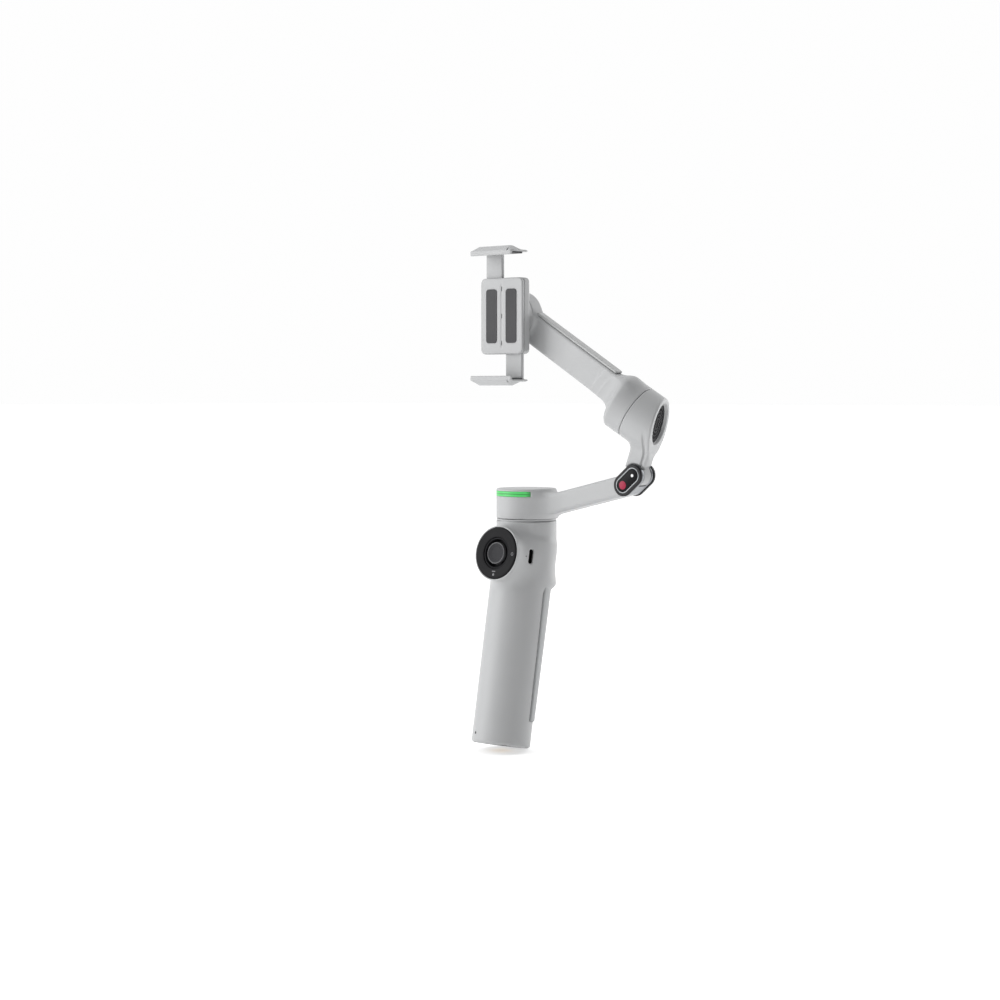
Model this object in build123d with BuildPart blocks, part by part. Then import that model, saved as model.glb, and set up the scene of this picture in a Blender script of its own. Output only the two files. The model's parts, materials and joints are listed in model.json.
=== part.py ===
from build123d import *
from math import cos, radians, sin
import os

os.makedirs("parts", exist_ok=True)

# Phone gimbal. Origin: mouth of the tripod thread, at the middle of the grip's base.
# +X is the user's right, +Y points away from the user, +Z is up. Millimetres and degrees.

# ---------------------------------------------------------------- driving dimensions
GAP = 0.3  # between faces that move past each other
RUN = 0.05  # radial running clearance of shafts and tubes

TILT = 11.0  # lean of the grip against the vertical pan axis
BODY_R = 19.0  # grip and head radius
WALL = 1.8
SECTOR_REACH = 57.0
PAN_Y = 25.8  # pan axis
BORE_R = 17.2
HEAD_R = 19.15
MITRE_S = 126.0  # top of the grip tube, along the grip, inside the head
HEAD_LOW = 97.0  # underside of the head's rear shoulder
HEAD_TOP = 140.0
BASE_ROUND = 1.5
BASE_CAP_T = 4.5
INSERT_R = 6.0  # brass insert with the 1/4 inch tripod thread
INSERT_LENGTH = 9.0
THREAD_R = 2.6
FRAME_T = 2.5  # inner frame plate above the base cap
BASE_SCREW_PCD_R = 12.0
BASE_SCREW_R = 1.1
BASE_SCREWS = 3
HEX_SIDES = 6
BASE_SCREW_HEAD_R = 2.1
STANDOFF_R = 2.8
DIMPLE_S = 6.0
DIMPLE_R = 0.8
DIMPLE_ANGLE = 23.0  # round the grip, from its front towards the left

PANEL_LOW = 17.0  # rear grip panel, along the grip
PANEL_TOP = 95.0
PANEL_ANGLE = 164.0
PANEL_SLIT = 0.3  # degrees each side
PANEL_R = 19.9
PANEL_SEAT_R = 18.1

CONTROL_S = 117.9  # control boss, distance along the grip and in front of its axis
CONTROL_T = 27.0
CONTROL_R = 17.1
BOSS_ROOT_R = 13.2
BOSS_ROOT_T = 9.0
BOSS_BORE_R = 11.6
BOSS_BORE_DEPTH = 17.0
FLANGE_DEPTH = 5.0
RING_R = 16.35
RING_HOLE_R = 9.9
RING_SINK = 1.2
RING_PROUD = 0.8
WELL_R = 9.6
WELL_DEPTH = 6.0
WELL_FLANGE_R = 14.6
STICK_R = 6.8
STEM_R = 1.6
BALL_R = 2.4
YOKE_R = 4.2
STICK_PIVOT = 8.8  # joystick pivot behind the boss face
STICK_BASE_SIDE = 13.0
BOARD_T = 1.0
BATTERY = (24.0, 8.0, 78.0)
BATTERY_ROUND = 1.5
BATTERY_T = -8.0
MAIN_BOARD = (18.0, 70.0)
MAIN_BOARD_T = -13.4

PORT_LENGTH = 9.0  # charging socket
PORT_WIDTH = 2.7
PORT_DEPTH = 6.5
PORT_TONGUE = (0.6, 6.3)
PORT_S = 118.5
PORT_ANGLE = -38.0  # in the grip's own plane, from +X
BUTTON_LENGTH = 10.0  # power button on the left side
BUTTON_WIDTH = 4.2
BUTTON_PROUD = 0.8
BUTTON_DEPTH = 3.4
BUTTON_S = 118.0

TRIGGER_WIDTH = 10.0
TRIGGER_WINDOW = 23.0
TRIGGER_WINDOW_DEPTH = 7.2
TRIGGER_MID = 113.0
TRIGGER_BACK = ((46.4, 104.2), (46.2, 112.0), (45.2, 123.0))  # finger face, in Y and Z
TRIGGER_INSIDE = ((40.2, 123.4), (40.4, 119.0), (42.0, 112.0), (43.2, 103.0))
TRIGGER_PIN_Y = 41.6
TRIGGER_PIN_Z = 121.6
TRIGGER_PIN_R = 1.0
TRIGGER_LUG_X = 7.4
TRIGGER_LUG_T = 1.8
TRIGGER_LUG_DEPTH = 4.0

ROD_T = 6.0  # extension rod axis behind the grip axis
ROD_LOW = 14.0
ROD_TOP = 136.0
ROD_WALL = 1.0
ROD_TUBES = 4
GUIDE_R = 8.6

PAN_LOW = 141.6  # pan housing
TOP_ROUND = 1.2
CAP_SEAT = 1.4
TOP_CAP_R = 16.6
PAN_SHAFT = 4.5
PAN_TOP = 160.5
PAN_SEAM = 152.0  # middle of the pan motor
LIGHT_LOW = 155.8
LIGHT_TOP = 159.0
LIGHT_ANGLE = 94.0

ARM_START = (14.0, 148.8)  # pan arm's centre line in X and Z, from here to the knuckle
ARM_HALF = 6.5
ROOT_HALF = 11.0  # half depth of the arm's root at the pan axis
ROOT_END = 36.0  # where the root has narrowed to the arm's own depth
ARM_FRONT = 19.6  # arms, front and rear faces in Y
ARM_REAR = 32.0
HINGE_X = 88.7  # fold hinge, along Y
HINGE_Z = 171.0
KNUCKLE_R = 6.6
KNUCKLE_LENGTH = 9.4  # between the knuckle's two round ends
KNUCKLE_ANGLE = 40.0
CAP_T = 1.3
TRIM_R = 4.9
TRIM_T = 0.7
INLAY_R = 2.2
PIN_R = 2.0
TONGUE_FRONT = 22.3
TONGUE_REAR = 29.3
TONGUE_NECK = 10.0
UPPER_OUTLINE = (  # in X and Z, from the knuckle up into the tilt motor and back
    (81.6, 176.4),
    (86.8, 190.7),
    (88.0, 199.0),
    (100.5, 204.0),
    (103.0, 191.3),
    (95.2, 176.4),
)
UPPER_FRONT = 20.3  # upper arm, front and rear faces
UPPER_REAR = 31.3

TILT_X = 86.8  # middle of the tilt motor's seam
TILT_Y = 25.8
TILT_Z = 209.3
PHONE_Z = 269.5  # centre of the phone, where the tilt and roll axes meet
PHONE_Y = 0.8
MOTOR_R = 16.0
MOTOR_DEPTH = 10.5  # stator cup, from the seam to the back of its floor
CUP_R = 13.2  # inside the stator cup
SEAT_R = 12.7  # magnet seat in the rotor half
HUB_R = 5.2
MAGNET_R = 12.6
STATOR_R = 10.5
BEARING_R = 4.0
SHAFT_R = 1.95

CUP_DEPTH = 9.0
STATOR_LOW = 8.0  # distances behind a motor's seam
STATOR_TOP = 1.5
MAGNET_LOW = 7.0
SHAFT_LOW = 7.0
BEARING_LOW = 6.0
HUB_TOP = 1.2
BEARING_T = 3.0
MAGNET_SEAT = 2.0  # distance past the seam
SLOTS = 12
SLOT_T = 1.4
TILT_R = 17.3
TILT_CUP = 26.0  # blank of the stator cup, before its slanted end is cut
TILT_END = 17.5  # from the seam to the middle of the slanted end
TILT_END_NORMAL = (0.915, 0.324, -0.243)
TILT_SHAFT = 4.0
ROTOR_LENGTH = 13.0
VENT_R = 10.5
VENT_RISE = 2.5  # vent above the middle of the slanted end
VENT_DEPTH = 3.0
VENT_HOLE_R = 0.8
VENT_RINGS = 4
VENT_PITCH = 2.2
VENT_FIRST = 6  # holes in the first ring
VENT_T = 1.2

INNER_START = (84.0, 218.5)  # inner arm, in X and Z, from here to the roll axis
INNER_HALF = 9.3
INNER_FRONT = 14.5
INNER_REAR = 22.5
STRIP_T = 1.6
STRIP_INSET = 0.8
STRIP_SPAN = (13.6, 86.0)  # from the roll axis

ROLL_SEAM = 12.3  # Y of the roll motor's seam
ROLL_SHAFT = 2.6
CLAMP_HALF = 17.0
CLAMP_BODY_HALF = 24.0
CLAMP_ROUND = 3.0
CLAMP_FRONT = 0.8
CLAMP_REAR = 8.8
COVER_T = 2.2
RAIL_T = 2.4
RAIL_IN = 1.5
RAIL_OUT = 14.5
RAIL_END = 11.5  # rails' inner ends, from the clamp's middle
CHANNEL_END = 22.0
DRUM_R = 3.2
CLAMP_SCREW_R = 0.7
CLAMP_SCREW_STEP = 17.0
FACE_PAD_T = 0.4
FACE_PAD_ROUND = 2.0
LIP_T = 1.6
LIP_DROP = 1.2
JAW_ROUND = 0.8
JAW_SHOULDER = 0.8  # height of the jaws' outline before it tapers
JAW_RIDGE = (-6.0, -2.5)  # depths between which the jaws are thickest
JAW_TAIL_Y = 1.5
JAW_TAIL_T = 1.6
JAW_END_SLOPE = 5.0
JAW_REAR = 7.0
SLIT = (1.2, 3.0, 2.2)
SLIT_X = 13.6
SLIT_RISE = 1.4
PHONE_WIDTH = 77.6  # gap between the jaw pads
JAW_T = 4.2
PAD_T = 1.0
JAW_REACH = 10.0  # jaws' front edge in front of Y = 0


def finish(piece, name):
    """Label a finished piece and write it as its own STEP file."""
    piece.part.label = name
    export_step(piece.part, f"parts/{name}.step")


# ---------------------------------------------------------------- reference planes
grip = Plane(origin=(0, 0, 0), x_dir=(1, 0, 0), z_dir=(0, sin(radians(TILT)), cos(radians(TILT))))


def across_grip(s):
    """Plane square to the grip axis, s above the base."""
    return grip.offset(s)


def level(z):
    """Horizontal plane centred on the pan axis."""
    return Plane(origin=(0, PAN_Y, z))


def upright(y):
    """Plane facing the user at depth y; its own x and y are X and Z."""
    return Plane.XZ.offset(-y)


def control(depth=0.0):
    """Plane of the control boss face, depth behind it, looking out of the boss."""
    origin = grip.from_local_coords((0, depth - CONTROL_T, CONTROL_S))
    return Plane(origin=origin, x_dir=(1, 0, 0), z_dir=grip.y_dir * -1)


def port_plane(radius):
    """Plane of the charging socket, at a radius from the grip axis, looking out."""
    turn = radians(PORT_ANGLE)
    out = grip.x_dir * cos(turn) + grip.y_dir * sin(turn)
    origin = grip.from_local_coords((radius * cos(turn), radius * sin(turn), PORT_S))
    return Plane(origin=origin, x_dir=out.cross(grip.z_dir), z_dir=out)


def wedge_outline(angle, middle, reach=SECTOR_REACH):
    """Closed outline in the current plane that holds a sector of the given angle, under 180."""
    ahead = Vector(reach, 0).rotate(Axis.Z, middle)
    first, last = (ahead.rotate(Axis.Z, side * angle / 2) for side in (-1, 1))
    return Polyline((0, 0), first, first + ahead, last + ahead, last, close=True)


def bar_outline(start, end, low, high):
    """Closed outline of a bar from start to end, between two distances to the left of that line."""
    start, end = Vector(start), Vector(end)
    left = (end - start).normalized().rotate(Axis.Z, 90)
    return Polyline(
        start + left * low, start + left * high, end + left * high, end + left * low, close=True
    )


phone_centre = Vector(0, PHONE_Y, PHONE_Z)
tilt_centre = Vector(TILT_X, TILT_Y, TILT_Z)
dimple_out = grip.y_dir.rotate(Axis(origin=(0, 0, 0), direction=grip.z_dir), 180 - DIMPLE_ANGLE)
dimple_mouth = grip.from_local_coords((0, 0, DIMPLE_S)) + dimple_out * BODY_R
button_plane = Plane(
    origin=grip.from_local_coords((-BODY_R - BUTTON_PROUD, 0, BUTTON_S)),
    x_dir=grip.y_dir,
    z_dir=(-1, 0, 0),
)
tilt_plane = Plane(origin=tilt_centre, x_dir=(0, 1, 0), z_dir=phone_centre - tilt_centre)
tilt_end = Plane(
    origin=tilt_centre - tilt_plane.z_dir * TILT_END, x_dir=(0, 0, 1), z_dir=TILT_END_NORMAL
)
roll_plane = Plane(origin=(0, ROLL_SEAM, PHONE_Z), x_dir=(1, 0, 0), z_dir=(0, -1, 0))
pan_plane = level(PAN_SEAM)
rod_plane = Plane(origin=grip.from_local_coords((0, ROD_T, 0)), x_dir=(1, 0, 0), z_dir=grip.z_dir)


middle_step = Vector(KNUCKLE_LENGTH / 2, 0).rotate(Axis.Z, KNUCKLE_ANGLE)
hinge = Vector(HINGE_X, HINGE_Z)
knuckle_high = hinge
knuckle_mid = hinge - middle_step
knuckle_low = knuckle_mid - middle_step


# ---------------------------------------------------------------- grip and head
with BuildPart() as grip_casing:
    with BuildSketch(grip):
        Circle(BODY_R)
    extrude(amount=MITRE_S)
    fillet(grip_casing.edges().sort_by(Axis.Z)[0], radius=BASE_ROUND)
    with BuildSketch(level(HEAD_LOW)):
        Circle(HEAD_R)
    extrude(amount=HEAD_TOP - HEAD_LOW)
    with BuildSketch(control()):
        Circle(CONTROL_R)
    with BuildSketch(control(CONTROL_T - BOSS_ROOT_T)):
        Circle(BOSS_ROOT_R)
    loft()
    # hollow inside
    with BuildSketch(grip):
        Circle(BORE_R)
    extrude(amount=MITRE_S, mode=Mode.SUBTRACT)
    with BuildSketch(level(HEAD_LOW + WALL)):
        Circle(BORE_R)
    extrude(amount=HEAD_TOP - HEAD_LOW - 2 * WALL, mode=Mode.SUBTRACT)
    with BuildSketch(control()):
        Circle(WELL_FLANGE_R + GAP)
    extrude(amount=-FLANGE_DEPTH, mode=Mode.SUBTRACT)
    with BuildSketch(control()):
        Circle(BOSS_BORE_R)
    extrude(amount=-BOSS_BORE_DEPTH, mode=Mode.SUBTRACT)
    with BuildSketch(control()):
        Circle(RING_R + GAP)
    extrude(amount=-RING_SINK - 2 * GAP, mode=Mode.SUBTRACT)
    # seat of the rear panel
    with BuildSketch(across_grip(PANEL_LOW - RUN)):
        Circle(BODY_R + 2 * WALL)
        Circle(PANEL_SEAT_R, mode=Mode.SUBTRACT)
        with BuildLine():
            wedge_outline(PANEL_ANGLE + 2 * PANEL_SLIT, 90)
        make_face(mode=Mode.INTERSECT)
    extrude(amount=PANEL_TOP - PANEL_LOW + 2 * RUN, mode=Mode.SUBTRACT)
    # mouth of the extension rod
    with BuildSketch(rod_plane.offset(ROD_TOP)):
        Circle(GUIDE_R - ROD_WALL + GAP)
    extrude(amount=BODY_R, mode=Mode.SUBTRACT)
    # charging socket, power button, trigger window and the trigger's pin lugs
    with BuildSketch(port_plane(BODY_R + WALL)):
        SlotOverall(PORT_LENGTH + GAP, PORT_WIDTH + GAP, rotation=90)
    extrude(amount=-2 * WALL - WALL, mode=Mode.SUBTRACT)
    with BuildSketch(button_plane):
        SlotOverall(BUTTON_LENGTH + 2 * GAP, BUTTON_WIDTH + 2 * GAP, rotation=90)
    extrude(amount=-2 * WALL - WALL, mode=Mode.SUBTRACT)
    with Locations((0, PAN_Y + BODY_R, TRIGGER_MID)):
        Box(2 * TRIGGER_LUG_X - TRIGGER_LUG_T - GAP, TRIGGER_WINDOW_DEPTH, TRIGGER_WINDOW, mode=Mode.SUBTRACT)
    with Locations(
        (-TRIGGER_LUG_X, TRIGGER_PIN_Y, TRIGGER_PIN_Z),
        (TRIGGER_LUG_X, TRIGGER_PIN_Y, TRIGGER_PIN_Z),
    ):
        Box(TRIGGER_LUG_T, TRIGGER_LUG_DEPTH, TRIGGER_LUG_DEPTH)
    with BuildSketch(Plane.YZ.offset(-BODY_R)):
        with Locations((TRIGGER_PIN_Y, TRIGGER_PIN_Z)):
            Circle(TRIGGER_PIN_R)
    extrude(amount=2 * BODY_R, mode=Mode.SUBTRACT)
    # dimple near the base
    with BuildSketch(Plane(origin=dimple_mouth, z_dir=dimple_out)):
        Circle(DIMPLE_R)
    extrude(amount=-WALL / 2, mode=Mode.SUBTRACT)
finish(grip_casing, "grip_casing")

with BuildPart() as rear_grip_panel:
    with BuildSketch(across_grip(PANEL_LOW)):
        Circle(PANEL_R)
        Circle(PANEL_SEAT_R, mode=Mode.SUBTRACT)
        with BuildLine():
            wedge_outline(PANEL_ANGLE, 90)
        make_face(mode=Mode.INTERSECT)
    extrude(amount=PANEL_TOP - PANEL_LOW)
    outer_rim = rear_grip_panel.edges().filter_by(GeomType.CIRCLE).filter_by(lambda e: e.radius > BODY_R)
    fillet(outer_rim, radius=PANEL_R - BODY_R)
finish(rear_grip_panel, "rear_grip_panel")

screw_ring = PolarLocations(BASE_SCREW_PCD_R, BASE_SCREWS, start_angle=90)

with BuildPart() as base_cap:
    with BuildSketch(grip):
        Circle(BORE_R - RUN)
        Circle(INSERT_R, mode=Mode.SUBTRACT)
        with screw_ring:
            Circle(BASE_SCREW_R, mode=Mode.SUBTRACT)
    extrude(amount=BASE_CAP_T)
    with BuildSketch(grip):
        with screw_ring:
            Circle(BASE_SCREW_HEAD_R + RUN)
    extrude(amount=BASE_CAP_T / 2, mode=Mode.SUBTRACT)
finish(base_cap, "base_cap")

with BuildPart() as thread_insert:
    with BuildSketch(grip):
        Circle(INSERT_R)
        Circle(THREAD_R, mode=Mode.SUBTRACT)
    extrude(amount=INSERT_LENGTH)
finish(thread_insert, "thread_insert")

with BuildPart() as inner_frame:
    with BuildSketch(across_grip(INSERT_LENGTH)):
        Circle(BORE_R - RUN)
        with screw_ring:
            Circle(BASE_SCREW_R, mode=Mode.SUBTRACT)
    extrude(amount=FRAME_T)
    with BuildSketch(across_grip(BASE_CAP_T)):
        with screw_ring:
            Circle(STANDOFF_R)
            Circle(BASE_SCREW_R, mode=Mode.SUBTRACT)
    extrude(amount=INSERT_LENGTH - BASE_CAP_T)
    with BuildSketch(rod_plane.offset(INSERT_LENGTH + FRAME_T)):
        Circle(GUIDE_R)
    extrude(amount=ROD_LOW - INSERT_LENGTH - FRAME_T)
finish(inner_frame, "inner_frame")

with BuildPart() as base_screws:
    with BuildSketch(across_grip(BASE_CAP_T / 2 - 2 * RUN)):
        with screw_ring:
            Circle(BASE_SCREW_R - RUN)
    extrude(amount=INSERT_LENGTH + FRAME_T - BASE_CAP_T / 2)
    with BuildSketch(across_grip(GAP)):
        with screw_ring:
            Circle(BASE_SCREW_HEAD_R)
    extrude(amount=BASE_CAP_T / 2 - GAP - RUN)
    with BuildSketch(across_grip(GAP)):
        with screw_ring:
            RegularPolygon(BASE_SCREW_R, HEX_SIDES)
    extrude(amount=BASE_SCREW_R, mode=Mode.SUBTRACT)
finish(base_screws, "base_screws")

# ---------------------------------------------------------------- battery, boards, socket and buttons
with BuildPart() as battery:
    with BuildSketch(across_grip(ROD_LOW + FRAME_T)):
        with Locations((0, BATTERY_T)):
            RectangleRounded(BATTERY[0], BATTERY[1], BATTERY_ROUND)
    extrude(amount=BATTERY[2])
finish(battery, "battery")

with BuildPart() as main_board:
    with BuildSketch(across_grip(ROD_LOW + FRAME_T)):
        with Locations((0, MAIN_BOARD_T)):
            Rectangle(MAIN_BOARD[0], BOARD_T)
    extrude(amount=MAIN_BOARD[1])
finish(main_board, "main_board")

with BuildPart() as usb_c_socket:
    with BuildSketch(port_plane(BODY_R - WALL / 4)):
        SlotOverall(PORT_LENGTH, PORT_WIDTH, rotation=90)
    extrude(amount=-PORT_DEPTH)
    with BuildSketch(port_plane(BODY_R - WALL / 4)):
        SlotOverall(PORT_LENGTH - 2 * GAP, PORT_WIDTH - 2 * GAP, rotation=90)
    extrude(amount=-PORT_DEPTH + WALL / 2, mode=Mode.SUBTRACT)
    with BuildSketch(port_plane(BODY_R - PORT_DEPTH)):
        Rectangle(PORT_TONGUE[0], PORT_TONGUE[1])
    extrude(amount=PORT_DEPTH - WALL)
finish(usb_c_socket, "usb_c_socket")

with BuildPart() as power_button:
    with BuildSketch(button_plane):
        SlotOverall(BUTTON_LENGTH, BUTTON_WIDTH, rotation=90)
    extrude(amount=-BUTTON_DEPTH)
    fillet(power_button.faces().sort_by(Axis.X)[0].edges(), radius=BUTTON_PROUD / 2)
finish(power_button, "power_button")

with BuildPart() as trigger:
    with BuildSketch(Plane.YZ.offset(-TRIGGER_WIDTH / 2)):
        with BuildLine():
            back = Spline(*TRIGGER_BACK)
            Polyline(back @ 1, *TRIGGER_INSIDE, back @ 0)
        make_face()
        with Locations((TRIGGER_PIN_Y, TRIGGER_PIN_Z)):
            Circle(TRIGGER_PIN_R + RUN, mode=Mode.SUBTRACT)
    extrude(amount=TRIGGER_WIDTH)
finish(trigger, "trigger")

with BuildPart() as trigger_pin:
    with BuildSketch(Plane.YZ.offset(-TRIGGER_LUG_X - TRIGGER_LUG_T / 2)):
        with Locations((TRIGGER_PIN_Y, TRIGGER_PIN_Z)):
            Circle(TRIGGER_PIN_R)
    extrude(amount=2 * TRIGGER_LUG_X + TRIGGER_LUG_T)
finish(trigger_pin, "trigger_pin")

with BuildPart() as trigger_springs:
    for side in (-1, 1):
        with BuildSketch(Plane.YZ.offset(side * (TRIGGER_WIDTH / 2 + 2 * GAP) - GAP)):
            with Locations((TRIGGER_PIN_Y, TRIGGER_PIN_Z)):
                Circle(TRIGGER_PIN_R + 2 * GAP)
                Circle(TRIGGER_PIN_R + RUN, mode=Mode.SUBTRACT)
        extrude(amount=2 * GAP)
finish(trigger_springs, "trigger_springs")

# ---------------------------------------------------------------- control ring and joystick
with BuildPart() as control_ring:
    with BuildSketch(control(RING_SINK)):
        Circle(RING_R)
        Circle(RING_HOLE_R, mode=Mode.SUBTRACT)
    extrude(amount=RING_SINK + RING_PROUD)
    front_rims = control_ring.faces().filter_by(GeomType.PLANE).sort_by(Axis.Y)[0].edges()
    chamfer(front_rims, length=RING_PROUD / 2)
finish(control_ring, "control_ring")

with BuildPart() as joystick_well:
    with BuildSketch(control(WELL_DEPTH)):
        Circle(WELL_R)
    extrude(amount=WELL_DEPTH)
    with BuildSketch(control(WELL_DEPTH - BOARD_T)):
        Circle(WELL_R - 2 * GAP)
    extrude(amount=WELL_DEPTH, mode=Mode.SUBTRACT)
    with BuildSketch(control(WELL_DEPTH)):
        Circle(YOKE_R)
    extrude(amount=BOARD_T, mode=Mode.SUBTRACT)
    with BuildSketch(control(WELL_DEPTH / 2 + BOARD_T)):
        Circle(WELL_FLANGE_R)
        Circle(WELL_R, mode=Mode.SUBTRACT)
    extrude(amount=BOARD_T)
finish(joystick_well, "joystick_well")

with BuildPart() as joystick_base:
    with BuildSketch(control(STICK_PIVOT + YOKE_R)):
        Rectangle(STICK_BASE_SIDE, STICK_BASE_SIDE)
    extrude(amount=STICK_PIVOT + YOKE_R - WELL_DEPTH - GAP)
    with BuildSketch(control(STICK_PIVOT + YOKE_R - BOARD_T)):
        Circle(YOKE_R + 2 * GAP)
    extrude(amount=STICK_PIVOT, mode=Mode.SUBTRACT)
finish(joystick_base, "joystick_base")

with BuildPart() as control_board:
    with BuildSketch(control(STICK_PIVOT + YOKE_R + BOARD_T + RUN)):
        Circle(BOSS_BORE_R - GAP)
    extrude(amount=BOARD_T)
finish(control_board, "control_board")

with BuildPart() as joystick_yoke:
    with BuildSketch(control(STICK_PIVOT + BOARD_T)):
        Circle(YOKE_R)
        Circle(BALL_R + RUN, mode=Mode.SUBTRACT)
    extrude(amount=2 * BOARD_T)
finish(joystick_yoke, "joystick_yoke")

with BuildPart() as joystick:
    with Locations(control(STICK_PIVOT)):
        Sphere(BALL_R)
    with BuildSketch(control(STICK_PIVOT)):
        Circle(STEM_R)
    extrude(amount=STICK_PIVOT)
    with BuildSketch(control(RING_PROUD)):
        Circle(STICK_R)
    extrude(amount=2 * RING_PROUD + BOARD_T)
    fillet(joystick.faces().filter_by(GeomType.PLANE).sort_by(Axis.Y)[0].edges(), radius=RING_PROUD)
finish(joystick, "joystick")

# ---------------------------------------------------------------- extension rod
rod_radii = [GUIDE_R - i * (ROD_WALL + RUN) for i in range(ROD_TUBES)]

with BuildPart() as rod_guide:
    with BuildSketch(rod_plane.offset(ROD_LOW)):
        Circle(rod_radii[0])
        Circle(rod_radii[0] - ROD_WALL, mode=Mode.SUBTRACT)
    extrude(amount=ROD_TOP - ROD_LOW)
finish(rod_guide, "rod_guide")

for number in (1, 2):
    with BuildPart() as rod_stage:
        with BuildSketch(rod_plane.offset(ROD_LOW + number * ROD_WALL)):
            Circle(rod_radii[number])
            Circle(rod_radii[number] - ROD_WALL, mode=Mode.SUBTRACT)
        extrude(amount=ROD_TOP - ROD_LOW + ROD_WALL)
    finish(rod_stage, f"rod_stage_{number}")

with BuildPart() as rod_stage_3:
    with BuildSketch(rod_plane.offset(ROD_LOW + 3 * ROD_WALL)):
        Circle(rod_radii[-1])
        Circle(rod_radii[-1] - ROD_WALL, mode=Mode.SUBTRACT)
    extrude(amount=ROD_TOP - ROD_LOW + BODY_R)
    split(bisect_by=level(HEAD_TOP + GAP), keep=Keep.BOTTOM)
finish(rod_stage_3, "rod_stage_3")

# ---------------------------------------------------------------- motors


def motor(seam, name, shaft_length):
    """Stator, magnet ring, bearing and shaft of one motor; the rotor lies on the seam's outer side."""
    with BuildPart() as stator:
        with BuildSketch(seam.offset(-STATOR_LOW)):
            Circle(STATOR_R)
            Circle(HUB_R, mode=Mode.SUBTRACT)
            with PolarLocations((STATOR_R + HUB_R) / 2, SLOTS):
                RectangleRounded(STATOR_R - HUB_R - 3 * GAP, SLOT_T, SLOT_T / 3, mode=Mode.SUBTRACT)
        extrude(amount=STATOR_LOW - STATOR_TOP)
    finish(stator, f"{name}_stator")
    with BuildPart() as magnets:
        with BuildSketch(seam.offset(-MAGNET_LOW)):
            Circle(MAGNET_R)
            Circle(STATOR_R + GAP, mode=Mode.SUBTRACT)
        extrude(amount=MAGNET_LOW + MAGNET_SEAT)
    finish(magnets, f"{name}_magnet_ring")
    with BuildPart() as bearing:
        with BuildSketch(seam.offset(-BEARING_LOW)):
            Circle(BEARING_R)
            Circle(SHAFT_R + RUN, mode=Mode.SUBTRACT)
        extrude(amount=BEARING_T)
    finish(bearing, f"{name}_bearing")
    with BuildPart() as shaft:
        with BuildSketch(seam.offset(-SHAFT_LOW)):
            Circle(SHAFT_R)
        extrude(amount=SHAFT_LOW + shaft_length)
    finish(shaft, f"{name}_shaft")


def stator_hollow(seam):
    """Space to cut for a stator cup: round the hub that carries the stator, and the hub's bores."""
    with BuildPart() as hollow:
        with BuildSketch(seam.offset(-CUP_DEPTH)):
            Circle(CUP_R)
            Circle(HUB_R, mode=Mode.SUBTRACT)
        extrude(amount=CUP_DEPTH)
        for depth, radius in hub_steps:
            with BuildSketch(seam.offset(-depth)):
                Circle(radius)
            extrude(amount=depth)
    return hollow.part


def rotor_hollow(seam, shaft_length):
    """Space to cut for the magnet ring and the shaft in a rotor half."""
    with BuildPart() as hollow:
        with BuildSketch(seam):
            Circle(SEAT_R)
        extrude(amount=MAGNET_SEAT + RUN)
        with BuildSketch(seam):
            Circle(SHAFT_R + RUN / 2)
        extrude(amount=shaft_length + RUN)
    return hollow.part


# depth and radius of each step of a hub's bore: mouth, bearing seat, shaft clearance
hub_steps = [(HUB_TOP, HUB_R), (BEARING_LOW, BEARING_R + RUN), (STATOR_LOW, SHAFT_R + 2 * GAP)]


# ---------------------------------------------------------------- pan unit
with BuildPart() as pan_base:
    with BuildSketch(level(HEAD_TOP + GAP)):
        Circle(HEAD_R - GAP)
    extrude(amount=PAN_LOW - HEAD_TOP - 2 * GAP)
    with BuildSketch(level(PAN_LOW - GAP)):
        Circle(HUB_R)
    extrude(amount=PAN_SEAM - HUB_TOP - PAN_LOW + GAP)
    for depth, radius in hub_steps[1:]:
        with BuildSketch(pan_plane.offset(-depth)):
            Circle(radius)
        extrude(amount=depth, mode=Mode.SUBTRACT)
finish(pan_base, "pan_base")
motor(pan_plane, "pan", PAN_SHAFT)

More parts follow.
